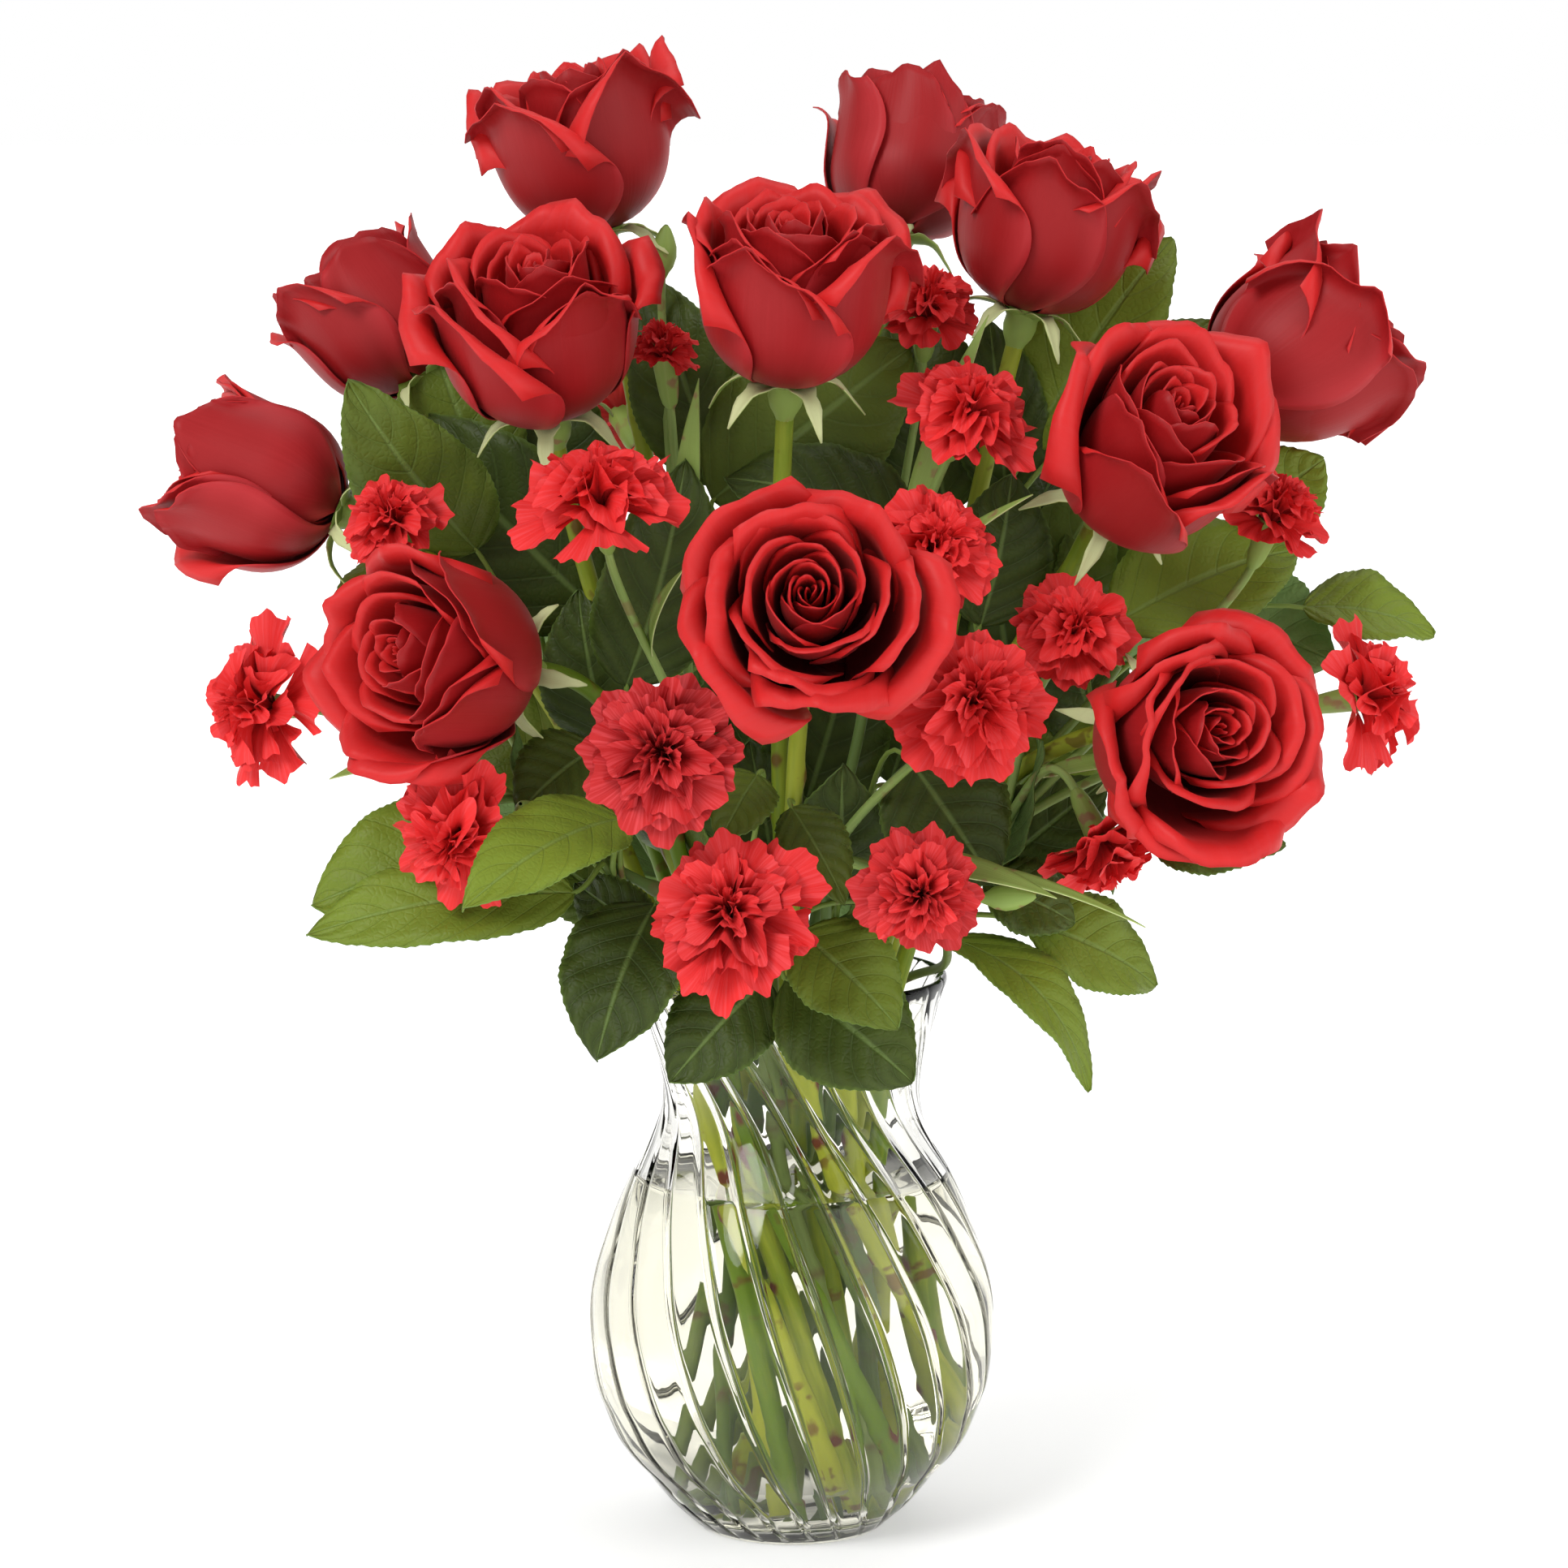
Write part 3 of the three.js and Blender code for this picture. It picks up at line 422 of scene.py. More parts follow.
# Each stem: its letter, its fork, its blooms by number, its buds and where they look, and its blades:
# on which branch, tip, width
carnationStems = records("name fork blooms buds blades", [
    ("a", (-70, -30, 235), (5, 8, 13), [((-84, -72, 252), (-0.2, -0.8, 0.5))],
     [(1, (-150, -40, 258), 8)]),
    ("b", (-30, -35, 262), (9, 4, 2), [((-42, 10, 428), (0.1, -0.2, 0.97))],
     [(2, (-30, -32, 388), 9), (1, (-34, -72, 330), 7)]),
    ("c", (4, -42, 225), (15, 16, 10), [((70, -70, 225), (0.9, -0.3, 0.1))],
     [(1, (84, -84, 226), 11), (1, (112, -84, 219), 5)]),
    ("d", (24, -14, 280), (3, 1, 6), [], [(0, (64, -22, 408), 9), (2, (78, -60, 352), 7)]),
    ("e", (66, -33, 237), (14, 11, 12, 7), [], [(2, (164, -46, 262), 7), (0, (122, -30, 262), 7)]),
    ("f", (6, 40, 268), (17, 18), [((20, 84, 392), (0, 0.5, 0.85))], [(0, (-66, 92, 326), 8)]),
])

# Each spray: its end and its leaves, with base, tip, width, where the upper face looks, and for one an arch
greens = records("end leaves", [
    ((-84, 0, 290), [
        ((-104, 6, 330), (-143, 8, 388), 42, (-0.3, -1, 0.3)),
        ((-62, -16, 306), (-128, -6, 373), 56, (-0.2, -1, 0.1)),
        ((-122, 18, 330), (-152, -2, 301), 24, (-0.7, -0.6, 0.4)),
        ((-96, 40, 330), (-128, 92, 356), 44, (-0.3, 0.5, 0.8)),
        ((-60, -6, 266), (-70, -14, 318), 34, (-0.2, -1, 0.1))]),
    ((0, 2, 326), [
        ((-26, 4, 346), (40, 14, 396), 56, (0.1, -1, 0.2)),
        ((-54, -30, 288), (-34, -20, 362), 42, (0.3, -1, 0)),
        ((41, -20, 336), (-22, -32, 353), 40, (0, -0.8, 0.7)),
        ((0, 26, 350), (-10, 84, 404), 46, (0, 0.6, 0.8)),
        ((-24, 16, 350), (-46, 26, 418), 38, (-0.1, -1, 0.2))]),
    ((66, 12, 330), [
        ((80, 24, 362), (128, 30, 431), 44, (-0.3, -1, 0.3)),
        ((113, 20, 382), (142, 25, 404), 22, (0, -0.7, 0.8)),
        ((62, -14, 306), (72, -12, 356), 36, (0.2, -1, 0)),
        ((84, 44, 340), (128, 92, 384), 44, (0.4, 0.5, 0.8)),
        ((76, 34, 298), (104, 50, 350), 40, (0.1, -1, 0.2))]),
    ((108, -6, 292), [
        ((105, -14, 306), (169, -6, 328), 44, (-0.2, -0.9, 0.5)),
        ((151, 0, 338), (178, 5, 358), 32, (0.2, -0.9, 0.4)),
        ((143, 4, 312), (181, 6, 292), 40, (0.3, 1, -0.4)),
        ((170, 6, 310), (214, 6, 301), 32, (0.1, -0.6, 0.8))]),
    ((-64, -34, 236), [
        ((-88, -36, 236), (-156, -40, 217), 48, (-0.1, -0.9, 0.5)),
        ((-70, -50, 223), (-156, -60, 211), 34, (0, -0.8, 0.6)),
        ((-54, -66, 250), (-101, -86, 230), 34, (0.1, -0.6, 0.8)),
        ((-63, -48, 270), (-88, -58, 250), 30, (-0.2, -0.9, 0.4))]),
    ((-12, -40, 210), [
        ((-44, -54, 220), (-62, -76, 173), 42, (-0.3, -0.9, 0.3)),
        ((-8, -56, 196), (-39, -68, 164), 34, (-0.1, -0.9, 0.3)),
        ((-11, -60, 263), (-23, -82, 244), 22, (0.1, -0.8, 0.6)),
        ((-42, -62, 206), (-70, -66, 222), 22, (-0.2, -0.9, 0.4))]),
    ((24, -38, 210), [
        ((-2, -58, 196), (39, -66, 164), 44, (0.1, -0.9, 0.3)),
        ((3, -62, 212), (34, -80, 184), 34, (0.1, -0.9, 0.4)),
        ((0, -58, 252), (17, -80, 225), 22, (0.1, -0.9, 0.3)),
        ((38, -46, 266), (65, -58, 227), 42, (0.1, -1, 0.1))]),
    ((48, -34, 214), [
        ((50, -48, 208), (96, -62, 160), 26, (0.4, -0.6, 0.8), 0.2),
        ((76, -42, 212), (120, -42, 188), 34, (0.3, -0.8, 0.6)),
        ((62, -48, 226), (92, -60, 212), 26, (0.1, -0.9, 0.5)),
        ((118, -40, 236), (160, -46, 238), 24, (0.2, -0.8, 0.5)),
        ((64, -16, 222), (104, -10, 254), 34, (0, -1, 0.3))]),
    ((-40, 44, 262), [
        ((-58, 52, 250), (-112, 70, 208), 46, (-0.4, 0.6, 0.7)),
        ((-34, 60, 240), (-44, 92, 182), 44, (-0.2, 0.9, 0.4)),
        ((-66, 56, 286), (-128, 84, 288), 44, (-0.3, 0.7, 0.7)),
        ((-20, 66, 286), (-30, 108, 330), 44, (-0.1, 0.8, 0.6)),
        ((-22, 56, 244), (6, 66, 300), 46, (0.1, -1, 0.2))]),
    ((50, 44, 260), [
        ((62, 52, 246), (112, 66, 204), 46, (0.4, 0.6, 0.7)),
        ((28, 62, 240), (26, 94, 180), 44, (0.1, 0.9, 0.4)),
        ((78, 54, 284), (142, 78, 286), 44, (0.3, 0.7, 0.7)),
        ((34, 66, 286), (44, 106, 336), 44, (0.1, 0.8, 0.6)),
        ((34, 56, 244), (58, 68, 298), 44, (0, -1, 0.3))]),
])

# The profile's rows of height and radius are the frame's, and the outline's are finer
vase = {
    "profile": [(0, 32), (8, 40.5), (20, 51), (38, 62.5), (60, 67.8), (84, 66.6), (108, 58.8),
                (130, 47.5), (146, 43), (166, 46), (188, 53)],
    "outline": [(0, 32), (8, 40.5), (14, 45.6), (20, 50.4), (25, 55), (31, 59.3), (37, 62), (42, 63.8),
                (48, 66), (54, 67.1), (65, 68), (76, 68), (87, 66.1), (98.5, 62.3), (110, 58), (121, 53),
                (132, 47.2), (137.6, 44.8), (143, 43.3), (149, 42.9), (157, 44), (171, 47.6), (180, 50),
                (188, 53)],
    "flutes": 24, "depth": 1.8, "wall": 2.8, "floor": 7, "corner": 14, "cornerIn": 16,
    "waterLevel": 120,
}
vaseTop = vase["profile"][-1][0]

# How the stems stand: their places in the neck, the turn and spread of their feet, and their steps
bunch = {"neckHeight": 150, "spread": 6.1, "goldenTurn": 137.5, "lean": 0.3, "reach": 36, "slope": 0.6,
         "turn": 80, "footSpread": 1.3, "footShift": (10, 0, 0), "footRoom": 1.6, "footVariety": 6,
         "lowerSteps": 24, "upperSteps": 60}
# How far a curve leads at its two ends, its steps, and whether its end may shift
roseStem, carnationStem, greensStem, branch = records("radius sides leave arrive steps loose", [
    (3.1, 5, 62, 60, 4, False), (2.2, 5, 62, 40, 3, True),
    (1.9, 5, 62, 40, 4, True), (1.5, 4, 20, 22, 2, False)])
roseMiddle, carnationMiddle, budMiddle = 30, 8, 8
stemShades = (0, 0.75)  # from dark to pale

# Moves that the frame's source tries in turn, to keep a stem or a leaf clear of the others
endShifts = np.array([(0, 0, 0), (7, 0, 0), (-7, 0, 0), (0, 7, 0), (0, -7, 0),
                      (0, 0, 9), (12, 6, 0), (-12, 6, 0), (0, 14, 4)], float)
bendSizes = (10, 20, 30, 42)
leafMoves = (0, 4, -4, 8, -8, 12, -12, 18, -18, 24, -24)
leafSwings = (0, 8, -8, 16, -16, 24, -24, 34, -34)


def insideRadius(height):
    return np.interp(height, *np.array(vase["profile"], float).T) - vase["wall"] - vase["depth"] / 2


neckPlaces = []
for i in range(len(roses) + len(carnationStems) + len(greens)):
    r, a = bunch["spread"] * math.sqrt(i + 0.5), math.radians(i * bunch["goldenTurn"])
    neckPlaces.append(np.array((r * math.cos(a), r * math.sin(a), bunch["neckHeight"])))


def takeNeckPlace(goal):
    wish = np.array((goal[0], goal[1], 0.0)) * bunch["lean"]
    length = np.linalg.norm(wish)
    if length > bunch["reach"]:
        wish *= bunch["reach"] / length
    wish[2] = bunch["neckHeight"]
    neckPlaces.sort(key=lambda place: np.linalg.norm(place - wish))
    return neckPlaces.pop(0)


def footOf(neck, radius):
    a = math.radians(bunch["turn"])
    x, y = neck[:2] * bunch["footSpread"]
    foot = np.array((x * math.cos(a) - y * math.sin(a), x * math.sin(a) + y * math.cos(a), 0))
    foot += bunch["footShift"]
    height = vase["floor"] + bunch["footRoom"]
    while insideRadius(height) < np.linalg.norm(foot) + radius + bunch["footRoom"]:
        height += 1
    foot[2] = height + bunch["footVariety"] * spread(len(neckPlaces), 3)
    return foot


def bends(start, end):
    yield np.zeros(3)
    along = unit(end - start)
    across = Vector(unit(np.cross((0, 1, 0), along)))
    for size in bendSizes:
        for turn in range(0, 360, 45):
            yield np.array(Quaternion(along, math.radians(turn)) @ across) * size


def cadTree(node):
    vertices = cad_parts[node].data.vertices
    tree = KDTree(len(vertices))
    for i, vertex in enumerate(vertices):
        tree.insert(vertex.co / mm, i)
    tree.balance()
    return tree


# How far points lie from the frame's, by their better part: the rest may be cut away there
def misfit(tree, points, most=3, part=0.7):
    found = sorted(min(tree.find(point)[2], most) for point in points.reshape(-1, 3))
    count = max(1, int(len(found) * part))
    return sum(found[:count]) / count


# The curve whose rings lie on the frame's: a stem bends, and its loose end shifts, to keep clear
def findWay(tree, start, leaving, end, arriving, kind, before=(), after=()):
    best = None
    for shift in endShifts if kind["loose"] else endShifts[:1]:
        to = end + shift
        for bend in bends(start, to):
            controls = (start, start + leaving * kind["leave"] + bend / 2,
                        to - arriving * kind["arrive"] + bend, to)
            line = np.array([*before, *bezier(controls, kind["steps"])])
            first, last = len(before) + 1, len(line)
            if len(after):
                line = np.array([*line[:-1], *after])
                last = len(before) + kind["steps"]
            rings = tubeRings(line, np.full(len(line), kind["radius"]), kind["sides"])
            score = misfit(tree, rings[first:last])
            if best is None or score < best[0] - 1e-6:
                best = (score, controls)
    return best


# A stem from its foot up through the neck to its end, which it reaches along a given way or else straight
def bunchStem(node, goal, end, kind, arriving=None):
    neck = takeNeckPlace(goal)
    foot = footOf(neck, kind["radius"])
    leaving = unit((neck - foot) * (bunch["slope"], bunch["slope"], 1))
    if arriving is None:
        arriving = unit(end - neck)
    score, controls = findWay(cadTree(node), neck, leaving, end, arriving, kind, before=[foot])
    reach = np.linalg.norm(neck - foot) / 3
    below = (foot, foot + unit(neck - foot) * reach, neck - leaving * reach, neck)
    lower, upper = bezier(below, bunch["lowerSteps"]), bezier(controls, bunch["upperSteps"])
    return score, np.concatenate([lower[:-1], upper]), arriving


# Finishes

# Inner faces are dark at the root, a painted shade deep in the bloom, and brightest at the rim; outer faces
# are duller, a painted shade that grows towards the root, with paler sides that are painted highlight and
# vein streaks
def petalFinish(name, deepShade, bright, outer, gleamAndVeins, reach, streaked, roughness):
    f = Finish(name, Roughness=roughness, Specular_IOR_Level=0.25, Sheen_Weight=0.1, Sheen_Roughness=0.35,
               Sheen_Tint=(1.0, 0.3, 0.28, 1))
    across, along, back, tone = f.marks()
    patch = f.noise(28, 2)
    veins = f.streaks(across * 24, along * 1.6, tone * 9)
    # painted shade: inner faces go from the deep shade colour at the root to the bright one, within the reach
    inner = f.over(
        deepShade, (f.between(along + patch * 0.2 + tone * 0.12 - 0.1, *reach), bright),
        (f.between(tone * -1, 1.2, 3.4) * 0.6, deepShade),  # painted shade over the whole of a darker bloom
        (f.between(veins, 0.4, 0.75) * f.between(along, 0.4, 0.9) * streaked, gleamAndVeins))
    # painted highlight on the sides of the outer faces, with vein streaks
    side = f.between(abs(across) + patch * 0.4 - 0.2, 0.55, 1.0)
    side = side + f.between(veins * streaked * 2 + patch, 0.6, 1.2) * 0.6
    # painted shade: outer faces are darker than inner ones, and darker still towards the root
    root = tuple(c * 0.45 for c in outer)
    face = f.over(root, (f.between(along + patch * 0.3 - 0.15, 0.0, 0.5), outer), (side * 0.5, gleamAndVeins))
    f.feed("Base Color", f.mix(back, inner, face))
    f.bump(veins, streaked * 0.7, 0.0005)
    return f.material


def leafFinish(name):
    f = Finish(name, Specular_IOR_Level=0.22)
    across, along, back, tone = f.marks()
    side = abs(across)
    slant = along * 6.5 - side * (1.3 + side * 0.6) + f.noise(40, 2) * 0.12  # side veins lean forwards
    vein = abs(f.node("Math", {"operation": "FRACT"}, {0: slant}) - 0.5)
    sideVein = 1 - f.between(vein, 0.01, 0.06)
    panel = f.between(vein, 0.05, 0.45)
    midrib = 1 - f.between(side, 0.015, 0.07)
    net = f.node("TexVoronoi", {"feature": "DISTANCE_TO_EDGE"}, {"Vector": f.place(), "Scale": 420})
    patch = f.noise(22, 3)
    # painted shade and tone: the leaf's tone, random but lowered by its depth in the bouquet, takes it from
    # dark to bright green
    toneAndShade = f.between(patch * 0.6 + tone * 0.9 - 0.3, 0.05, 0.95)
    f.feed("Base Color", f.over(
        (0.036, 0.055, 0.008), (toneAndShade, (0.185, 0.255, 0.024)), (panel * 0.1, (0.15, 0.23, 0.03)),
        (f.between(side, 0.9, 1.0) * 0.3, (0.16, 0.26, 0.04)), (sideVein * 0.14, (0.13, 0.22, 0.05)),
        (midrib * 0.45, (0.20, 0.30, 0.08)), (back * 0.8, (0.15, 0.25, 0.07))))
    f.feed("Roughness", 0.42 + back * 0.2 + patch * 0.12)
    net = f.between(net, 0, 0.25)
    f.bump(patch * 0.4 + net * 0.25 + panel * 0.8 - sideVein * 0.6 - midrib * 1.2, 0.6, 0.0006)
    return f.material


# Streaked along its length, spotted and scarred, with painted shade darker towards the bloom, pale where it
# is cut
def stemFinish(name, green, pale, scar):
    f = Finish(name, Specular_IOR_Level=0.35)
    across, along, back, tone = f.marks()
    streak = f.streaks(across * 9, along * 0.05, 0.0)
    patch = f.noise(30, 3)
    spots = f.between(f.noise(150, 2), 0.58, 0.68) * f.between(patch, 0.44, 0.54)
    f.feed("Base Color", f.over(
        green, (f.between(streak * 0.5 + patch * 0.4 + back * 0.8, 0.45, 1.0), pale), (spots * 0.75, scar),
        (f.between(tone + patch * 0.3, 0.3, 0.75), scar),
        # painted shade: darker higher up, in among the blooms
        (f.between(along, 130, 220) * 0.55, tuple(c * 0.3 for c in green)),
        (f.between(back, 0.8, 1.0) * 0.9, (0.55, 0.6, 0.3))))
    f.feed("Roughness", 0.42 + streak * 0.2)
    f.bump(streak + spots, 0.3, 0.0004)
    return f.material


def clearFinish(name, tint, bend, mirror):
    return Finish(name, Base_Color=(*tint, 1), Roughness=0.0, IOR=bend, Transmission_Weight=1.0,
                  Specular_Tint=(mirror, mirror, mirror, 1))


rosePetal = petalFinish("rosePetal", deepShade=(0.17, 0.007, 0.008), bright=(0.61, 0.018, 0.018),
                        outer=(0.33, 0.009, 0.011), gleamAndVeins=(0.58, 0.034, 0.042), reach=(0.3, 0.8),
                        streaked=0.2, roughness=0.5)
carnationPetal = petalFinish("carnationPetal", deepShade=(0.34, 0.009, 0.011), bright=(0.78, 0.029, 0.029),
                             outer=(0.72, 0.025, 0.027), gleamAndVeins=(0.85, 0.095, 0.11), reach=(0.05, 0.6),
                             streaked=0.5, roughness=0.6)
roseSkin = stemFinish("roseStemSkin", (0.19, 0.33, 0.010), (0.62, 0.68, 0.05), (0.22, 0.05, 0.012))
carnationSkin = stemFinish("carnationStemSkin", (0.17, 0.28, 0.06), (0.36, 0.48, 0.14), (0.24, 0.20, 0.07))
greensSkin = stemFinish("greensStemSkin", (0.13, 0.22, 0.03), (0.28, 0.36, 0.07), (0.16, 0.06, 0.03))
sepalSkin = stemFinish("sepalSkin", (0.26, 0.38, 0.08), (0.62, 0.68, 0.30), (0.30, 0.12, 0.08))
leafSkin = leafFinish("leafSkin")


# Vase and water

vaseLook = {
    # rows below the first height, between, and within the second one of the rim
    "bandRows": (9, 90, 6), "footBand": 12, "rimBand": 4, "insideRows": 58, "floorRings": (0.85, 0.02, 6),
    "twist": 0.48, "twistRadius": 52, "twistPower": 2.2, "crown": 0.18, "groove": 1.0, "grooveWidth": 0.95,
    "lip": 2.5, "lipOutside": 1.3, "lipInside": 1.4, "fadeFoot": 10, "fadeTop": 20, "topFlutes": 0.15,
    # places across a flute, closer near its groove
    "across": [-0.5, -0.4, -0.3, -0.22, -0.15, -0.1, -0.06, -0.03,
               0, 0.03, 0.06, 0.1, 0.15, 0.22, 0.3, 0.4],
    # rings under the foot, as parts of its radius, and their heights
    "foot": [(0.02, 1.6), (0.5, 1.6), (0.78, 1.2), (0.88, 0.3), (0.93, 0.0)],
}


# The smooth inside, from the rim down its rounded corner to the floor
def vaseInside(top, rows):
    low, corner = vase["floor"], vase["corner"]
    bend = np.linspace(0, 1, 10) * math.pi / 2
    height = np.concatenate([np.linspace(top, low + corner, rows), low + corner * (1 - np.sin(bend[1:]))])
    side = smoothRow(vase["outline"], np.maximum(height, low + corner)) - vase["wall"] - vase["depth"] / 2
    drop = np.clip((low + corner - height) / corner, 0, 1)
    return side - vase["cornerIn"] * (1 - np.sqrt(1 - drop**2)), height


def lipPart(height):
    return np.clip((height - (vaseTop - vaseLook["lip"])) / vaseLook["lip"], 0, 1) ** 2


def makeVase():
    look = vaseLook
    f = clearFinish("clearGlass", (0.985, 0.98, 0.94), 1.46, 0.35)
    f.bump(f.noise(14, 2), 0.03, 0.001)
    ends = (0, look["footBand"], vaseTop - look["rimBand"], vaseTop)
    bands = zip(ends, ends[1:], look["bandRows"])
    height = np.concatenate([[0]] + [np.linspace(low, high, rows)[1:] for low, high, rows in bands])
    radius = smoothRow(vase["outline"], height)
    # the soft glass twisted most where it is narrow
    rate = look["twist"] * (look["twistRadius"] / radius) ** look["twistPower"]
    twist = np.radians(np.concatenate([[0], np.cumsum((rate[1:] + rate[:-1]) / 2 * np.diff(height))]))
    step = np.array(look["across"])
    angle = (np.arange(vase["flutes"])[:, None] + step[None]).ravel() / vase["flutes"] * fullTurn
    aside = np.tile(step, vase["flutes"])[None] * 2
    away = np.abs(aside) * radius[:, None] * math.pi / vase["flutes"]
    groove = look["crown"] * (1 - (1 - np.abs(aside)) ** 2)
    groove = groove - look["groove"] * np.exp(-(away / look["grooveWidth"]) ** 2)
    fade = np.minimum(height / look["fadeFoot"], look["topFlutes"] + (vaseTop - height) / look["fadeTop"])
    r = radius[:, None] + np.clip(fade, 0, 1)[:, None] * groove
    r = r - look["lipOutside"] * lipPart(height)[:, None]
    outside = roundAxis(r, angle - twist[:, None], height[:, None])
    ri, hi = vaseInside(vaseTop, look["insideRows"])
    ri = ri + look["lipInside"] * lipPart(hi)
    rings = ri[-1] * np.linspace(*look["floorRings"])
    ri, hi = np.concatenate([ri, rings]), np.concatenate([hi, np.full(len(rings), vase["floor"])])
    inside = roundAxis(ri[:, None], angle - twist[-1], hi[:, None])
    foot = np.array(look["foot"])
    under = roundAxis(foot[:, :1] * radius[0], angle, foot[:, 1:])
    shape = Shape()
    shape.grid(np.concatenate([under, outside, inside]), 0.0, 0.0, closed=True)
    stand(shape, "fluted_vase", [f.material], "vase")


waterLook = {
    "sides": 120, "rows": 46, "overlap": 0.15, "floorOverlap": 0.1, "floorRings": (0.02, 0.4, 0.75),
    # rings of the surface, as parts of its radius, and how far they lie below its edge
    "surface": ((0.985, 0.7), (0.95, 1.1), (0.8, 1.2), (0.4, 1.2), (0.02, 1.2)),
}


# It reaches a little into the glass, so that no air shows between them
def makeWater():
    look, level = waterLook, vase["waterLevel"]
    f = clearFinish("vaseWater", (0.96, 0.95, 0.87), 1.33, 0.85)
    r, h = (row[::-1] for row in vaseInside(level, look["rows"]))
    r, h = r + look["overlap"], h - look["floorOverlap"] * (h < vase["floor"] + 1)
    rows = [(r[0] * part, h[0]) for part in look["floorRings"]] + list(zip(r, h))
    rows = np.array(rows + [(r[-1] * part, level - sink) for part, sink in look["surface"]])
    shape = Shape()
    shape.grid(roundAxis(rows[:, :1], evenly(look["sides"]), rows[:, 1:]), 0.0, 0.0, closed=True)
    stand(shape, "vase_water", [f.material], "water")


makeVase()
makeWater()
print("vase and water are made")


# Roses

roseBloom = {
    "seed": 99, "thickness": 0.45, "tip": 3.4, "lean": 3.0, "calmLean": 1.2, "heartRise": 2.6,
    "rootWidth": 0.34, "rimNarrowing": 0.36, "wave": 0.9, "waves": 4.2, "ripple": 0.45, "ripples": 11,
    "cornerFall": 2.4, "outerTurn": 38, "innerTurn": 50,
    # how the petals differ: in roll, in curl with their looseness, in the rim, in width and in tone, and how
    # much more painted shade each inner whorl gets
    "rolls": (0.8, 1.2), "lessCurl": 0.4, "moreCurl": 0.25, "calmCurl": 0.75, "closedCurl": 0.5,
    "unevenRim": 0.2, "tipWidth": 0.2, "widths": (0.93, 1.07), "tones": (-0.5, 0.5), "innerShade": 0.1,
    # from the outside in: how many petals, profile from root to rim, roll of the rim and its curl, half the
    # angle that a petal spans, how far one side lies over the next petal, rows and columns, looseness
    "whorls": [
        (5, [(4, 1.5), (13, 3.5), (21, 9), (26.5, 18), (28.6, 30), (28.8, 42.5)],
         12, 125, 56, 1.3, 20, 19, 1.0),
        (4, [(3.5, 3), (11, 5.5), (18, 12), (23, 22), (25.2, 34), (25.6, 48)],
         8.2, 92, 62, 1.5, 19, 19, 0.85),
        (3, [(3, 5), (9, 8), (15, 16), (19, 28), (20.6, 42), (21.0, 50.5)], 5.6, 70, 76, 1.8, 15, 17, 0.6),
        (3, [(2.6, 6.5), (7.8, 10), (12.6, 19), (15.8, 32), (16.8, 44), (16.4, 51.5)],
         4.0, 65, 80, 2.0, 15, 15, 0.45),
        (3, [(2.2, 8), (6.5, 12), (10.5, 22), (12.8, 36), (13.2, 47), (12.2, 53)],
         2.6, 45, 84, 2.2, 14, 15, 0.3),
        (3, [(2, 10), (5, 16), (8.4, 28), (10.0, 42), (9.8, 49), (8.6, 54)], 2.0, 35, 92, 1.9, 12, 13, 0.2),
        (3, [(1.5, 14), (4.2, 22), (6.6, 36), (7.0, 46), (6.0, 53.5)], 1.6, 30, 98, 1.5, 11, 13, 0.2),
        (3, [(1, 20), (3.0, 30), (4.4, 42), (3.8, 52)], 1.2, 20, 104, 1.0, 10, 11, 0.1),
        (2, [(0.6, 26), (1.4, 36), (2.0, 46), (1.4, 51)], 0.6, 10, 112, 0.5, 8, 9, 0.1),
    ],
    # roses with petals that stay upright on one side, and that side
    "upright": {2: (-0.3, -1, 0), 5: (0.6, -0.8, 0), 8: (0.7, -0.6, 0.2), 9: (-0.5, -0.3, -0.8),
                10: (1, -0.2, 0.1)},
}


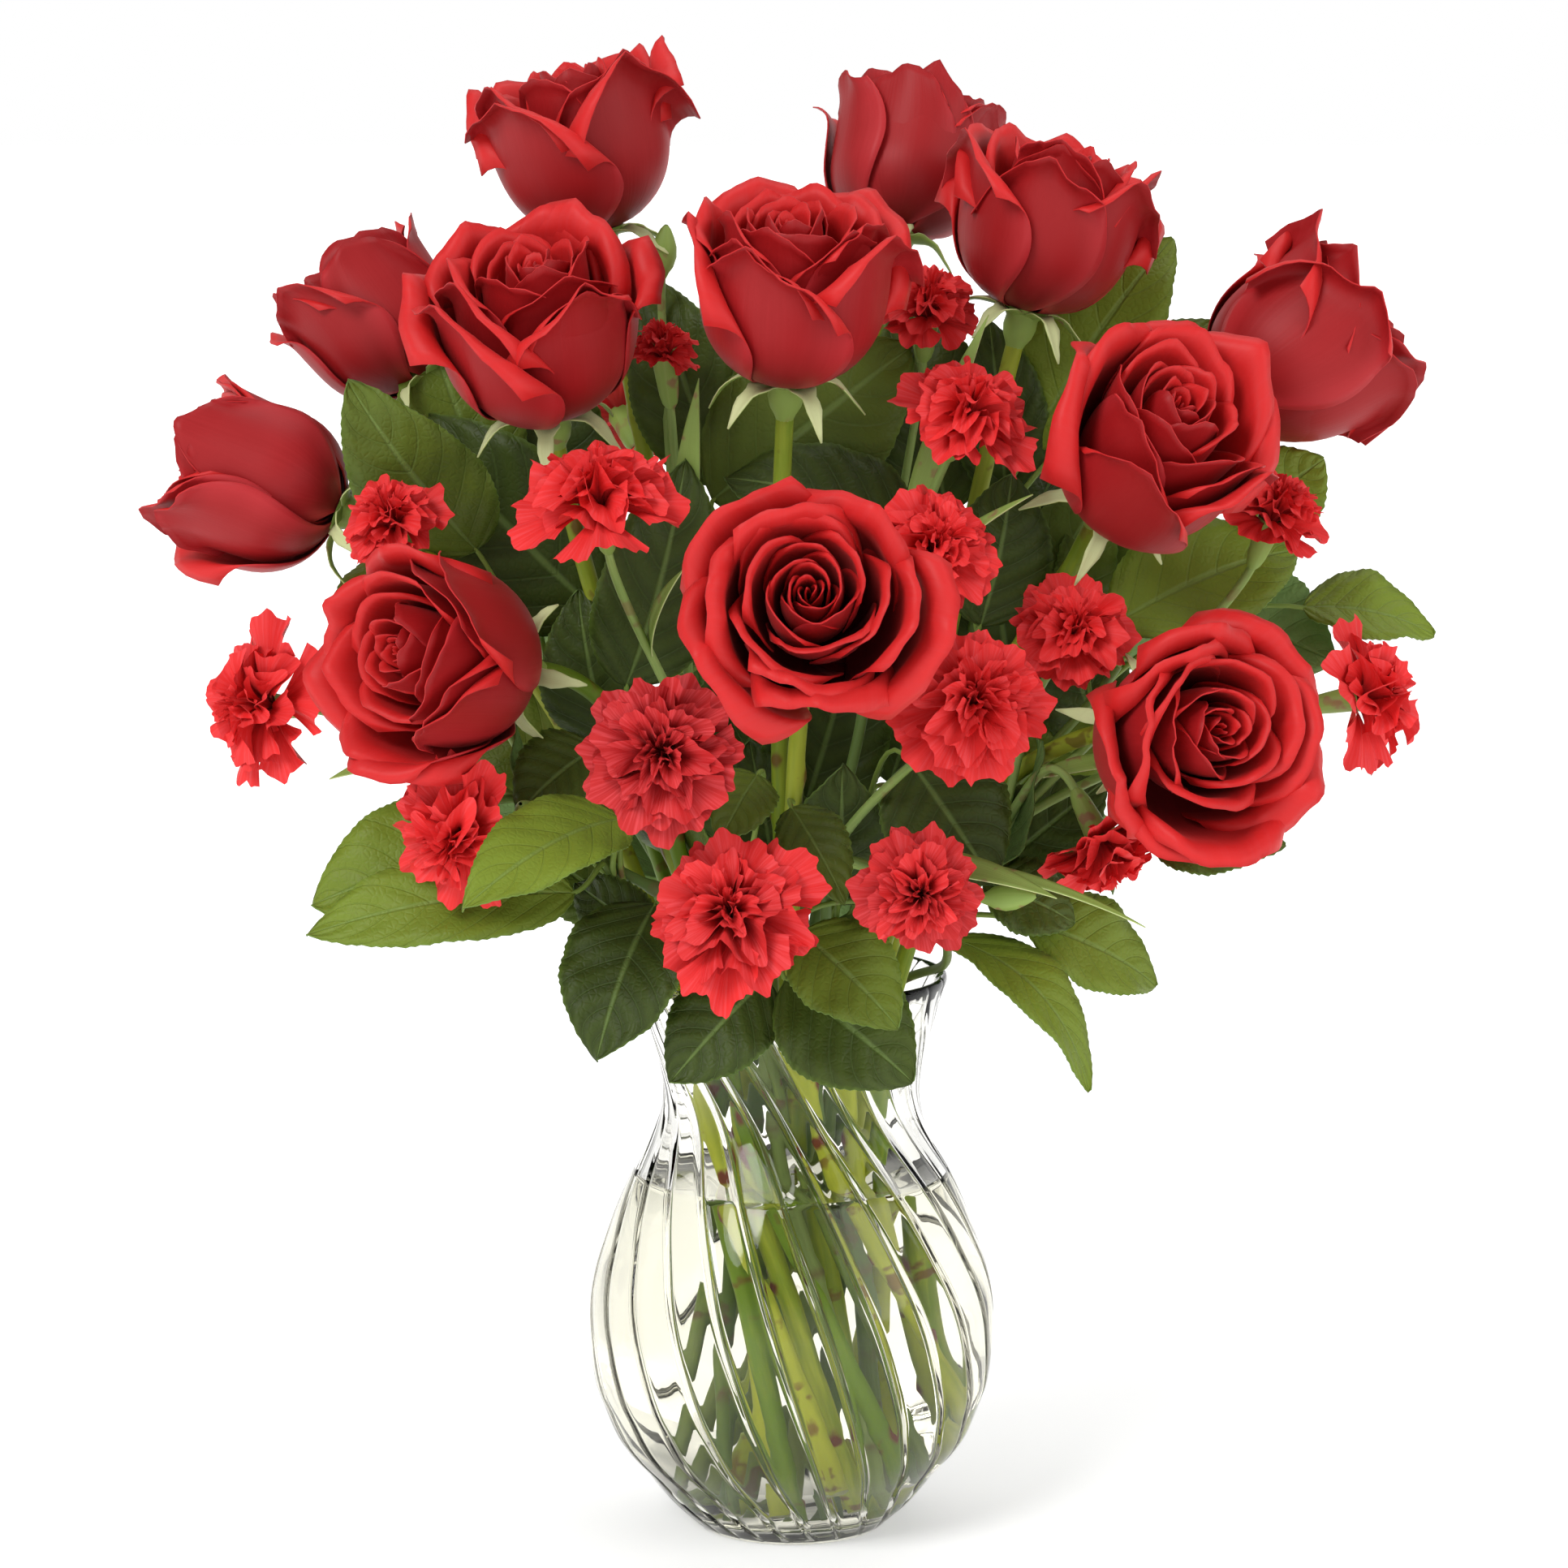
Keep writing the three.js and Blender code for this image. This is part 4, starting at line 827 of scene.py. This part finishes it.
# A petal of a cup: its profile runs up from the root, and its rim rolls outwards, most at the corners
def rosePetalPoints(whorl, middle, chance, opened, calm):
    look = roseBloom
    profile, roll, curl, half, overlap, rows, columns, loose = whorl[1:]
    profile = np.array(profile, float)
    profile[:, 1] *= 1 + chance.normal(0, 0.012 + 0.02 * loose)
    if loose > 0.8:
        profile[-2:, 0] += look["lean"] * (opened - 1) - look["calmLean"] * calm
    roll = roll * chance.uniform(*look["rolls"])
    curl = curl * chance.uniform(1 - look["lessCurl"] * loose, 1 + look["moreCurl"] * loose)
    curl = curl * (1 - look["calmCurl"] * calm)
    if loose > 0.5:
        curl *= 0.25 + 0.75 * opened if opened > 0.8 else look["closedCurl"]
    starts = walked(profile)
    steps = np.diff(profile, axis=0)
    lean = np.arctan2(steps[:, 0], steps[:, 1]) + np.radians(chance.normal(0, 3) * loose)
    u, v = sheetPlaces(rows, columns)
    skew = chance.uniform(-0.3, 0.3)
    off = np.abs(u - skew) / (1 + abs(skew))  # how far from the petal's tip
    tip = look["tip"] * loose * chance.uniform(0.5, 1.1) * np.exp(-(off / look["tipWidth"]) ** 2)
    edge = (starts[-1] + roll) * (1 - 0.07 * off - 0.22 * off**4) + tip
    edge = edge + chance.normal(0, look["unevenRim"], u.shape)
    s = edge * v ** 0.9
    angle = np.interp(s, (starts[:-1] + starts[1:]) / 2, lean)
    rolled = np.clip((s - (edge - roll * (0.95 + 0.15 * off))) / roll, 0, 1.3)
    corner = 1 - 0.2 * off + loose * (0.45 * off - 0.25)
    angle = angle + np.radians(curl) * rolled ** 1.15 * corner
    ds = np.diff(s, axis=0)
    mid = (angle[1:] + angle[:-1]) / 2
    r = profile[0, 0] + np.concatenate([np.zeros_like(u), np.cumsum(np.sin(mid) * ds, 0)])
    z = profile[0, 1] + np.concatenate([np.zeros_like(u), np.cumsum(np.cos(mid) * ds, 0)])
    wide = look["rootWidth"] + 0.66 * np.sin(np.clip(v / 0.62, 0, 1) * math.pi / 2)
    wide = wide * (1 - look["rimNarrowing"] * np.clip((v - 0.6) / 0.4, 0, 1) ** 2)
    theta = middle + np.radians(half * chance.uniform(*look["widths"])) * wide * u
    wave = chance.uniform(*anyPhase)
    r = r + overlap * u * np.clip(v * 2, 0, 1)
    r = r + look["wave"] * loose * v**3 * np.sin(look["waves"] * u + wave)
    r = r + look["ripple"] * loose * v**3 * np.sin(look["ripples"] * u + 2 * wave)
    fall = loose * look["cornerFall"] * np.clip(off - 0.55, 0, 1) ** 1.4
    r = r + fall * np.clip(v * 1.6 - 0.3, 0, 1) * np.sign(u + 0.6)  # one corner out, the other in
    z = z + (0.4 + 1.0 * loose) * v**4 * np.sin(5 * u + wave * 2)
    return roundAxis(np.maximum(r, 0.3), theta, z), u, v


def makeRose(rose, number):
    chance = np.random.default_rng(roseBloom["seed"] + number)
    put = seat(rose, roseMiddle)[2]
    shape = Shape()
    start = chance.uniform(0, 40)
    rise = put(np.eye(3))[:2, 2] - put((0, 0, 0))[2]
    heart = chance.normal(0, 1.0, 2) + roseBloom["heartRise"] * rise  # the heart turns up to the light
    quiet = unit(np.array(roseBloom["upright"].get(number, (0, 0, 0)), float))
    for w, whorl in enumerate(roseBloom["whorls"]):
        start += roseBloom["outerTurn" if w < 2 else "innerTurn"]
        for p in range(whorl[0]):
            middle = math.radians(start + p * 360 / whorl[0] + chance.normal(0, 2 + 5 * whorl[-1]))
            outwards = put((math.cos(middle), math.sin(middle), 0)) - put((0, 0, 0))
            calm = np.clip((unit(outwards) @ quiet - 0.1) / 0.4, 0, 1)
            points, u, v = rosePetalPoints(whorl, middle, chance, rose["open"], calm)
            if w > 1:
                points[..., :2] += heart * np.clip(points[..., 2:] / 50, 0, 1)
            # the tone moves the painted shade, and the inner whorls get more of it
            tone = chance.uniform(*roseBloom["tones"]) - roseBloom["innerShade"] * w
            shape.sheet(put(points[:, ::-1]), u, v, roseBloom["thickness"], tone)
    stand(shape, f"rose_bloom_{number:02d}", [rosePetal], f"rose_{number:02d}")


for number, rose in enumerate(roses, 1):
    makeRose(rose, number)
print("roses are made")


# Carnations

carnationBloom = {
    "rows": 8, "columns": 33, "teeth": 7.5, "toothDepth": 0.016, "ragged": 0.04, "notch": 0.006,
    "usualRadius": 27, "seed": 299, "cornerCut": 0.13, "skewCut": 0.08,
    # how the petals differ: in reach, more so in the outer whorls, in height, width, ruffle and tone
    "reaches": (0.88, 1.06), "outerReaches": (0.80, 1.06), "unevenHeight": 1.5, "widths": (0.85, 1.15),
    "ruffles": (0.7, 1.25), "folds": (3.0, 4.8), "smallFolds": (7, 10), "tones": (-0.6, 0.5),
    "unevenTurn": 8,
    # from the outside in: how many petals, reach against the bloom's radius, rim height, half the angle that
    # a petal spans, ruffle against the radius; then the turn from one whorl to the next, in degrees
    "dense": ([
        (5, 1.0, 4.5, 46, 0.12), (5, 0.92, 9.5, 44, 0.17), (5, 0.76, 14.5, 44, 0.21),
        (5, 0.58, 17.5, 44, 0.21), (4, 0.40, 19.5, 52, 0.18), (4, 0.24, 20.0, 54, 0.12),
        (3, 0.12, 19.5, 66, 0.06)], 24),
    "open": ([
        (5, 1.06, 4.0, 37, 0.16), (5, 0.82, 9.0, 39, 0.20), (5, 0.60, 13.5, 46, 0.24),
        (4, 0.42, 16.5, 54, 0.24), (4, 0.26, 18.0, 56, 0.16), (3, 0.13, 18.5, 70, 0.08)], 36),
    "openOnes": (3, 4, 8, 12, 13, 15, 17),
    # blooms with more painted shade than the rest, and how much more
    "shadedOnes": {9: 3.2, 15: 2.0, 16: 2.2},
}


# A petal's rim is squarish and finely scalloped, and the petal is pleated like a fan
def carnationPetalPoints(row, radius, middle, chance, uneven):
    look = carnationBloom
    reach, height, half, ruffle = row[1:]
    u, v = sheetPlaces(look["rows"], look["columns"])
    far = reach * radius * chance.uniform(*look["outerReaches" if uneven else "reaches"])
    top = height * (radius / look["usualRadius"]) ** 0.5 + chance.normal(0, look["unevenHeight"])
    turn = (u + chance.uniform(0, 1)) * look["teeth"] * math.pi
    rim = look["toothDepth"] * np.cos(turn) + chance.normal(0, look["notch"], u.shape)
    rim = rim + look["ragged"] * (np.cos(turn * 0.4) + 0.7 * np.cos(turn * 0.23 + chance.uniform(*anyPhase)))
    skew = chance.uniform(-look["skewCut"], look["skewCut"])
    edge = 1 - look["cornerCut"] * np.abs(u) ** 3 + skew * u + rim * v**5
    t = v**0.85 * edge
    r = arc(t, 0.8, far * 0.30, far)
    z = arc(t, 1.0, top * 0.75 + 3, top)
    phase, second = chance.uniform(*anyPhase, 2)
    fold = np.sin(u * chance.uniform(*look["folds"]) + phase)
    fold = fold + 0.3 * np.sin(u * chance.uniform(*look["smallFolds"]) + second)
    out = ruffle * chance.uniform(*look["ruffles"]) * radius * v**1.7 * fold
    slope = math.atan2(top - 2, far)
    r = np.maximum(r - out * math.sin(slope), 0.3)
    z = z + out * math.cos(slope) * 0.85 + 0.6 * v**2 * np.sin(u * 15 + second)
    theta = middle + math.radians(half * chance.uniform(*look["widths"])) * u * (0.45 + 0.55 * v)
    return roundAxis(r, theta, z), u, v


def makeCarnation(carnation, number):
    look = carnationBloom
    chance = np.random.default_rng(look["seed"] + number)
    put = seat(carnation, carnationMiddle)[2]
    shape = Shape()
    # painted shade reaches further into the dark ones
    shade = look["shadedOnes"].get(number, 0)
    whorls, turn = look["open" if number in look["openOnes"] else "dense"]
    for w, row in enumerate(whorls):
        for p in range(row[0]):
            middle = (w + 1) * turn + p * 360 / row[0] + chance.normal(0, look["unevenTurn"])
            middle = math.radians(middle)
            points, u, v = carnationPetalPoints(row, carnation["radius"], middle, chance, w < 2)
            shape.grid(put(points), u, v, 0.0, chance.uniform(*look["tones"]) - shade, flip=True)
    stand(shape, f"carnation_bloom_{number:02d}", [carnationPetal], f"carnation_{number:02d}")


for number, carnation in enumerate(carnations, 1):
    makeCarnation(carnation, number)
print("carnations are made")


# Rose stems

roseStemLook = {
    "seed": 499, "sides": 14, "step": 2.2, "taper": ([0, 0.4, 1], [0.86, 0.88, 0.95]),
    "scarEvery": 46, "scarHeight": 1.1, "scarLength": (2.2, 4.5), "scarWidth": (1.6, 2.6),
    "firstScar": (10, 30), "scarSteps": (0.3, 1.2), "withoutScars": 25,
    # where the stem ends, and rows of radius and height under the bloom
    "end": -8,
    "calyx": [(2.7, -12), (3.5, -10), (4.9, -7.5), (5.6, -4.5), (5.4, -1.5), (6.6, 0.6), (8, 2.2)],
    "calyxSides": 16, "sepals": 5, "sepalTurn": 0.3, "sepalLength": 24, "sepalWidth": 8.5,
    "sepalGrid": (11, 5), "thickness": 0.5, "droop": 9, "leastDroop": 6,
    # a sepal leaves the calyx at this radius and height, then leans out and up before it droops
    "sepalRoot": (5.2, -0.6), "sepalOut": 15, "sepalUp": (2.5, 5), "lengths": (0.95, 1.1),
    "sepalTaper": 0.65, "notches": 0.2, "fold": 0.35, "twist": 0.8,
}


# Turns rows of radius and height round a bloom's axis
def turned(shape, put, rows, sides):
    rows = np.array(rows, float)
    points = put(roundAxis(rows[:, :1], evenly(sides), rows[:, 1:]))
    shape.grid(points, parts(sides), np.arange(len(rows))[:, None] * 0.1, skin=1, closed=True)


# How near each point of a stem is to a scar that a thorn has left, from 0 to 1
def scarMarks(along, chance):
    look = roseStemLook
    sides = look["sides"]
    scar = np.zeros((len(along), sides))
    at = chance.uniform(*look["firstScar"])
    while at < along[-1] - look["withoutScars"]:
        turn = chance.uniform(0, sides)
        away = np.abs((np.arange(sides) - turn + sides / 2) % sides - sides / 2)
        away = away / sides * fullTurn * roseStem["radius"]
        near = ((along[:, None] - at) / chance.uniform(*look["scarLength"])) ** 2
        near = near + (away[None] / chance.uniform(*look["scarWidth"])) ** 2
        scar = np.maximum(scar, np.exp(-near))
        at += look["scarEvery"] * chance.uniform(*look["scarSteps"])
    return scar


def addSepal(shape, put, j, droop, chance):
    look = roseStemLook
    angle = j / look["sepals"] * fullTurn + look["sepalTurn"]
    u, t = sheetPlaces(*look["sepalGrid"])
    r, z = look["sepalRoot"]
    r = arc(t, r, look["sepalOut"], look["sepalLength"] * chance.uniform(*look["lengths"]))
    z = arc(t, z, chance.uniform(*look["sepalUp"]), -look["leastDroop"] - droop)
    half = look["sepalWidth"] / 2 * (1 - t) ** look["sepalTaper"]
    side = u * (half * (1 + look["notches"] * np.sin(t * 16 + j)) + 0.25)
    z = z + look["fold"] * np.abs(side) + look["twist"] * t * np.sin(t * 9 + j)
    points = np.stack([r * math.cos(angle) - side * math.sin(angle),
                       r * math.sin(angle) + side * math.cos(angle), z], -1)
    shape.sheet(put(points), u, t * 10, look["thickness"], 0.0, 1)


def makeRoseStem(rose, number):
    look = roseStemLook
    chance = np.random.default_rng(look["seed"] + number)
    node = f"rose_stem_{number:02d}"
    along, base, put = seat(rose, roseMiddle)
    score, line = bunchStem(node, base, put((0, 0, look["end"])), roseStem, along)[:2]
    length = walked(line)[-1]
    fine = np.linspace(0, length, int(length / look["step"]))
    line = pointsAt(line, fine)
    rings = tubeRings(line, roseStem["radius"] * np.interp(fine / length, *look["taper"]), look["sides"])
    scar = scarMarks(fine, chance)
    rings = rings + unit(rings - line[:, None]) * scar[..., None] * look["scarHeight"]
    across = parts(look["sides"])
    shape = Shape()
    shape.grid(rings, across, fine[:, None], chance.uniform(*stemShades), scar, closed=True)
    cut = np.stack([np.broadcast_to(line[0], rings[0].shape), rings[0]])
    shape.grid(cut, across, 0.0, 1.0, closed=True)
    turned(shape, put, look["calyx"], look["calyxSides"])
    for j in range(look["sepals"]):
        addSepal(shape, put, j, look["droop"] * spread((number - 1) * 5 + 2 * j, 1), chance)
    stand(shape, f"rose_stem_dressed_{number:02d}", [roseSkin, sepalSkin], node)
    return score


print("rose stems fit to", max(makeRoseStem(rose, i) for i, rose in enumerate(roses, 1)))


# Leaves

# The rows are places along a leaf and how wide it is there, as in the frame's source
leafLook = {
    "cadRows": [(0.16, 0.72), (0.44, 1), (0.76, 0.62)], "bladeRows": [(0.4, 1)], "wave": 0.07,
    "arch": 0.1, "fold": 0.16, "thickness": 0.5, "teeth": 2.6, "leastWidth": 0.012, "seed": 699,
    "tipLift": (-0.03, 0.03), "tones": (0.1, 1.1), "shadeStrength": 0.9,
    # a stalk's radii, how far it runs into the leaf, and how far its two ends lead, as parts of its reach
    "stalk": (1.1, 0.8), "stalkSteps": 14, "stalkSides": 8, "stalkInside": 2, "stalkLead": (0.3, 0.35),
    "shadedStalk": 0.9, "shadedSteps": 8, "shadedArch": 0.08, "shadedUp": (0.1, -1, 0.2),
    "shadedLead": (5, 6), "shadedRoot": 15,
    "twigSides": 10, "twigTaper": (0.9, 0.8), "firstRoot": 2, "rootEvery": 6,
    # painted shade: leaves are darker the nearer they are to the middle of the bouquet
    "shadeMiddle": (0, 0, 300), "shadeSquash": (1, 1, 0.8), "shadeReach": 110,
    "inner": {"height": 208, "step": 14, "turn": 35, "out": 9, "up": 8, "lead": (4, 4),
              "length": 54, "width": 38, "slant": (0.45, 0.9)},
    # the spray, its leaf, and how much lighter it is than the rest
    "pale": {(1, 3): 0.6, (3, 1): 0.3, (4, 1): 0.3, (4, 2): 0.6, (4, 4): 0.9, (5, 2): 0.6, (8, 1): 0.9},
    # leaves behind the others, in the shade: which spray, base, tip and width
    "shaded": [
        (3, (52, 24, 340), (38, 40, 410), 46), (3, (72, 24, 344), (66, 30, 404), 32),
        (3, (74, 18, 272), (66, 26, 332), 42), (4, (104, 10, 262), (86, 16, 310), 34),
        (4, (76, 6, 242), (102, 14, 284), 38), (4, (98, 16, 300), (112, 26, 354), 32),
        (1, (-72, 6, 256), (-114, 16, 272), 38), (1, (-102, 22, 346), (-122, 28, 402), 42),
        (1, (-84, 26, 334), (-80, 34, 392), 42), (5, (-56, -18, 212), (-86, -8, 232), 28),
        (2, (4, 22, 238), (22, 26, 300), 42), (6, (-6, 12, 220), (-14, 16, 264), 30),
    ],
}

# The swell is the shape of the outline: the powers of the parts before and after a place
broadLeaf = {"rows": 58, "columns": 7, "swell": (0.6, 0.85), "tooth": 0.8, "wave": 0.07, "ripple": 0.03}
blade = {"rows": 24, "columns": 5, "swell": (0.75, 1.1), "tooth": 0, "wave": 0, "ripple": 0}


# The way from places along, across and above a leaf to the bouquet
def leafAxes(base, tip, up, arch):
    along = tip - base
    across = unit(np.cross(along, up))
    rise = unit(np.cross(across, along))
    length = np.linalg.norm(along)
    return lambda part, aside, lift: (base + part[..., None] * along + aside[..., None] * across
                                      + (lift + arch * length * 4 * part * (1 - part))[..., None] * rise)


# The place that the frame gave a leaf: moved in depth or swung at its tip
def findLeaf(tree, base, tip, width, up, arch, rows, first):
    best = None
    up = unit(np.array(up, float))
    marks = [(part, side * w, side * leafLook["wave"] * (1 if i % 2 else -1))
             for i, (part, w) in enumerate(rows, first) for side in (-1, 0, 1)]
    part, side, wave = np.array(marks + [(1, 0, 0)], float).T
    lift = (np.abs(side) * leafLook["fold"] + wave) * width / 2
    for move in leafMoves:
        for swing in leafSwings:
            b = np.array(base, float) + (0, move, 0)
            t = np.array(tip, float) + (0, move + swing, 0)
            score = misfit(tree, leafAxes(b, t, up, arch)(part, side * width / 2, lift))
            if best is None or score < best[0] - 1e-6:
                best = (score, b, t, up)
    return best


def leafWidth(part, a, b):
    most = (a / (a + b)) ** a * (b / (a + b)) ** b
    return np.clip(part, 0, 1) ** a * np.clip(1 - part, 0, 1) ** b / most


def addLeaf(shape, base, tip, up, width, arch, chance, kind=broadLeaf, pale=0.0):
    length = np.linalg.norm(tip - base)
    side, part = sheetPlaces(kind["rows"], kind["columns"])
    outline = leafWidth(part, *kind["swell"]) + leafLook["leastWidth"]
    half = outline * width / 2
    tooth = kind["tooth"] * ((part * length / leafLook["teeth"]) % 1 - 0.5) * np.abs(side) ** 8  # at the edge
    phase = chance.uniform(*anyPhase)
    wave = kind["wave"] * side * np.cos((part - 0.16) / 0.29 * math.pi)
    wave = wave + kind["ripple"] * side**2 * np.sin(part * 23 + phase)
    lift = (np.abs(side) * leafLook["fold"] * outline + wave) * width / 2
    lift = lift + chance.uniform(*leafLook["tipLift"]) * length * part**2
    part = np.broadcast_to(part, lift.shape)
    points = leafAxes(base, tip, up, arch)(part, side * (half + tooth * np.clip(outline * 3, 0, 1)), lift)
    tone = 0.0
    if kind is broadLeaf:
        # painted shade: a broad leaf is darker the nearer it is to the middle of the bouquet
        away = np.linalg.norm(((base + tip) / 2 - leafLook["shadeMiddle"]) * leafLook["shadeSquash"])
        depth = np.clip(1.3 - away / leafLook["shadeReach"], 0, 1)
        tone = chance.uniform(*leafLook["tones"]) - leafLook["shadeStrength"] * depth
        tone = np.clip(tone + pale, 0, 1)
    shape.sheet(points, side, part, leafLook["thickness"], tone, 1)


# A leaf in the shade with its stalk, which leaves the stem upwards and ends in line with the leaf
def addShadedLeaf(shape, root, base, tip, up, width, lead, chance):
    look = leafLook
    ahead = unit(tip - base)
    leave, arrive = lead
    stalk = bezier((root, root + (0, 0, leave), base - ahead * arrive, base + ahead * look["stalkInside"]),
                   look["shadedSteps"])
    shape.tube(stalk, np.full(len(stalk), look["shadedStalk"]), look["stalkSides"], caps=False)
    addLeaf(shape, base, tip, up, width, look["shadedArch"], chance)


# A small leaf low on the stem, inside the bunch
def addInnerLeaf(shape, line, number, chance):
    look = leafLook["inner"]
    root = line[np.argmin(np.abs(line[:, 2] - look["height"] - look["step"] * ((number - 1) % 3)))]
    angle = math.atan2(root[1], root[0]) + math.radians(look["turn"] * (-1 if number % 2 else 1))
    outwards = np.array((math.cos(angle), math.sin(angle), 0))
    base = root + outwards * look["out"] + (0, 0, look["up"])
    out, up = look["slant"]
    tip = base + outwards * look["length"] * out + (0, 0, look["length"] * up)
    addShadedLeaf(shape, root, base, tip, outwards, look["width"], look["lead"], chance)


def makeGreens(spray, number):
    look = leafLook
    chance = np.random.default_rng(look["seed"] + number)
    node = f"greens_{number:02d}"
    end = np.array(spray["end"], float)
    score, line = bunchStem(node, end, end, greensStem)[:2]
    tree = cadTree(node)
    shape = Shape()
    radii = greensStem["radius"] * np.linspace(*look["twigTaper"], len(line))
    shape.tube(line, radii, look["twigSides"], shade=chance.uniform(*stemShades))
    back = look["firstRoot"] + look["rootEvery"] * np.arange(len(spray["leaves"]))
    roots = list(pointsAt(line[::-1], back))
    for i, (base, tip, width, up, *arch) in enumerate(spray["leaves"]):
        arch = arch[0] if arch else look["arch"]
        roots.sort(key=lambda root: -np.linalg.norm(root - np.array(base)))
        root = roots.pop()
        fit, base, tip, up = findLeaf(tree, base, tip, width, up, arch, look["cadRows"], 1)
        score = max(score, fit)
        ahead = unit(tip - base)
        reach = np.linalg.norm(base - root)
        leave, arrive = look["stalkLead"]
        inside = base + ahead * look["stalkInside"]
        stalk = bezier((root, root + unit(line[-1] - line[-6]) * reach * leave,
                        base - ahead * reach * arrive, inside), look["stalkSteps"])
        shape.tube(stalk, np.linspace(*look["stalk"], len(stalk)), look["stalkSides"], caps=False)
        pale = look["pale"].get((number, i + 1), 0)
        addLeaf(shape, base, tip, up, width, arch, chance, pale=pale)
    addInnerLeaf(shape, line, number, chance)
    for owner, base, tip, width in look["shaded"]:
        if owner == number:
            base, tip = np.array(base, float), np.array(tip, float)
            root = line[np.argmin(np.linalg.norm(line - base + (0, 0, look["shadedRoot"]), axis=1))]
            up = np.array(look["shadedUp"])
            addShadedLeaf(shape, root, base, tip, up, width, look["shadedLead"], chance)
    stand(shape, f"greens_spray_{number:02d}", [greensSkin, leafSkin], node)
    return score


# Carnation stems

# A branch ends in a calyx or a bud: its heights in the frame, and finer rows of radius and height
carnationStemLook = {
    "seed": 899, "sides": 12, "branchSides": 8, "tipSides": 15,
    "nodeFrom": 24, "nodeEvery": 52, "withoutNodes": 8, "nodeLength": 2.6, "nodeSwell": 0.4,
    "nodeTone": 0.5, "slimness": 0.86, "branchSteps": 30, "branchTaper": (1.1, 0.95),
    "calyx": ((-13, 0), [(1.6, -14.5), (2.5, -13), (3.2, -10), (3.7, -5), (4.1, 0), (4.7, 4)]),
    "bud": ((0, 6, 16), [(1.6, -1.5), (2.4, 0.5), (3.6, 2.5), (4.4, 6), (4.1, 9.5), (3.0, 12.5),
                         (1.8, 15), (0.6, 16.5)]),
    "bladeUp": (0, -0.6, 0.8), "bladeArch": 0.1,
}


def makeCarnationStem(spray, number):
    look = carnationStemLook
    chance = np.random.default_rng(look["seed"] + number)
    node = f"carnation_stem_{spray['name']}"
    fork = np.array(spray["fork"], float)
    score, line, rising = bunchStem(node, fork, fork, carnationStem)
    tree = cadTree(node)
    shape = Shape()
    along = walked(line)
    swell = sum(np.exp(-((along - at) / look["nodeLength"]) ** 2)
                for at in np.arange(look["nodeFrom"], along[-1] - look["withoutNodes"], look["nodeEvery"]))
    radii = carnationStem["radius"] * (look["slimness"] + look["nodeSwell"] * swell)
    shape.tube(line, radii, look["sides"], look["nodeTone"] * swell, shade=chance.uniform(*stemShades))
    tips = [(seat(carnations[bloom - 1], carnationMiddle), look["calyx"]) for bloom in spray["blooms"]]
    tips += [(seat(bud, budMiddle), look["bud"]) for bud in records("at facing", spray["buds"])]
    middles = []
    for (facing, base, put), (heights, rows) in tips:
        cup = [put((0, 0, height)) for height in heights]
        fit, controls = findWay(tree, line[-1], rising, cup[0], facing, branch, after=cup)
        score = max(score, fit)
        middles.append(bezier(controls, branch["steps"])[1])
        way = bezier(controls, look["branchSteps"])
        radii = branch["radius"] * np.linspace(*look["branchTaper"], len(way))
        shape.tube(way, radii, look["branchSides"])
        turned(shape, put, rows, look["tipSides"])
    for which, tip, width in spray["blades"]:
        fit, base, tip, up = findLeaf(tree, middles[which], tip, width, look["bladeUp"], look["bladeArch"],
                                      leafLook["bladeRows"], 0)
        score = max(score, fit)
        addLeaf(shape, base, tip, up, width, look["bladeArch"], chance, blade)
    stand(shape, f"carnation_stem_dressed_{spray['name']}", [carnationSkin, sepalSkin], node)
    return score


print("carnation stems fit to", max(makeCarnationStem(spray, i) for i, spray in enumerate(carnationStems, 1)))
print("greens fit to", max(makeGreens(spray, i) for i, spray in enumerate(greens, 1)))


# Floor

def makeFloor():
    f = Finish("paleFloor", Base_Color=(0.93, 0.93, 0.93, 1), Roughness=0.9, Specular_IOR_Level=0.0,
               Emission_Color=(1, 1, 1, 1), Emission_Strength=studio["floorGlow"])
    size, z = studio["floorSize"], -studio["floorDrop"]
    corners = [(-size, -size, z), (size, -size, z), (size, size, z), (-size, size, z)]
    data = bpy.data.meshes.new("floor")
    data.from_pydata(corners, [], [(0, 1, 2, 3)])
    data.materials.append(f.material)
    floor = bpy.data.objects.new("floor", data)
    scene.collection.objects.link(floor)


makeFloor()

bpy.context.view_layer.update()
print("triangles", sum(pieceTriangles))
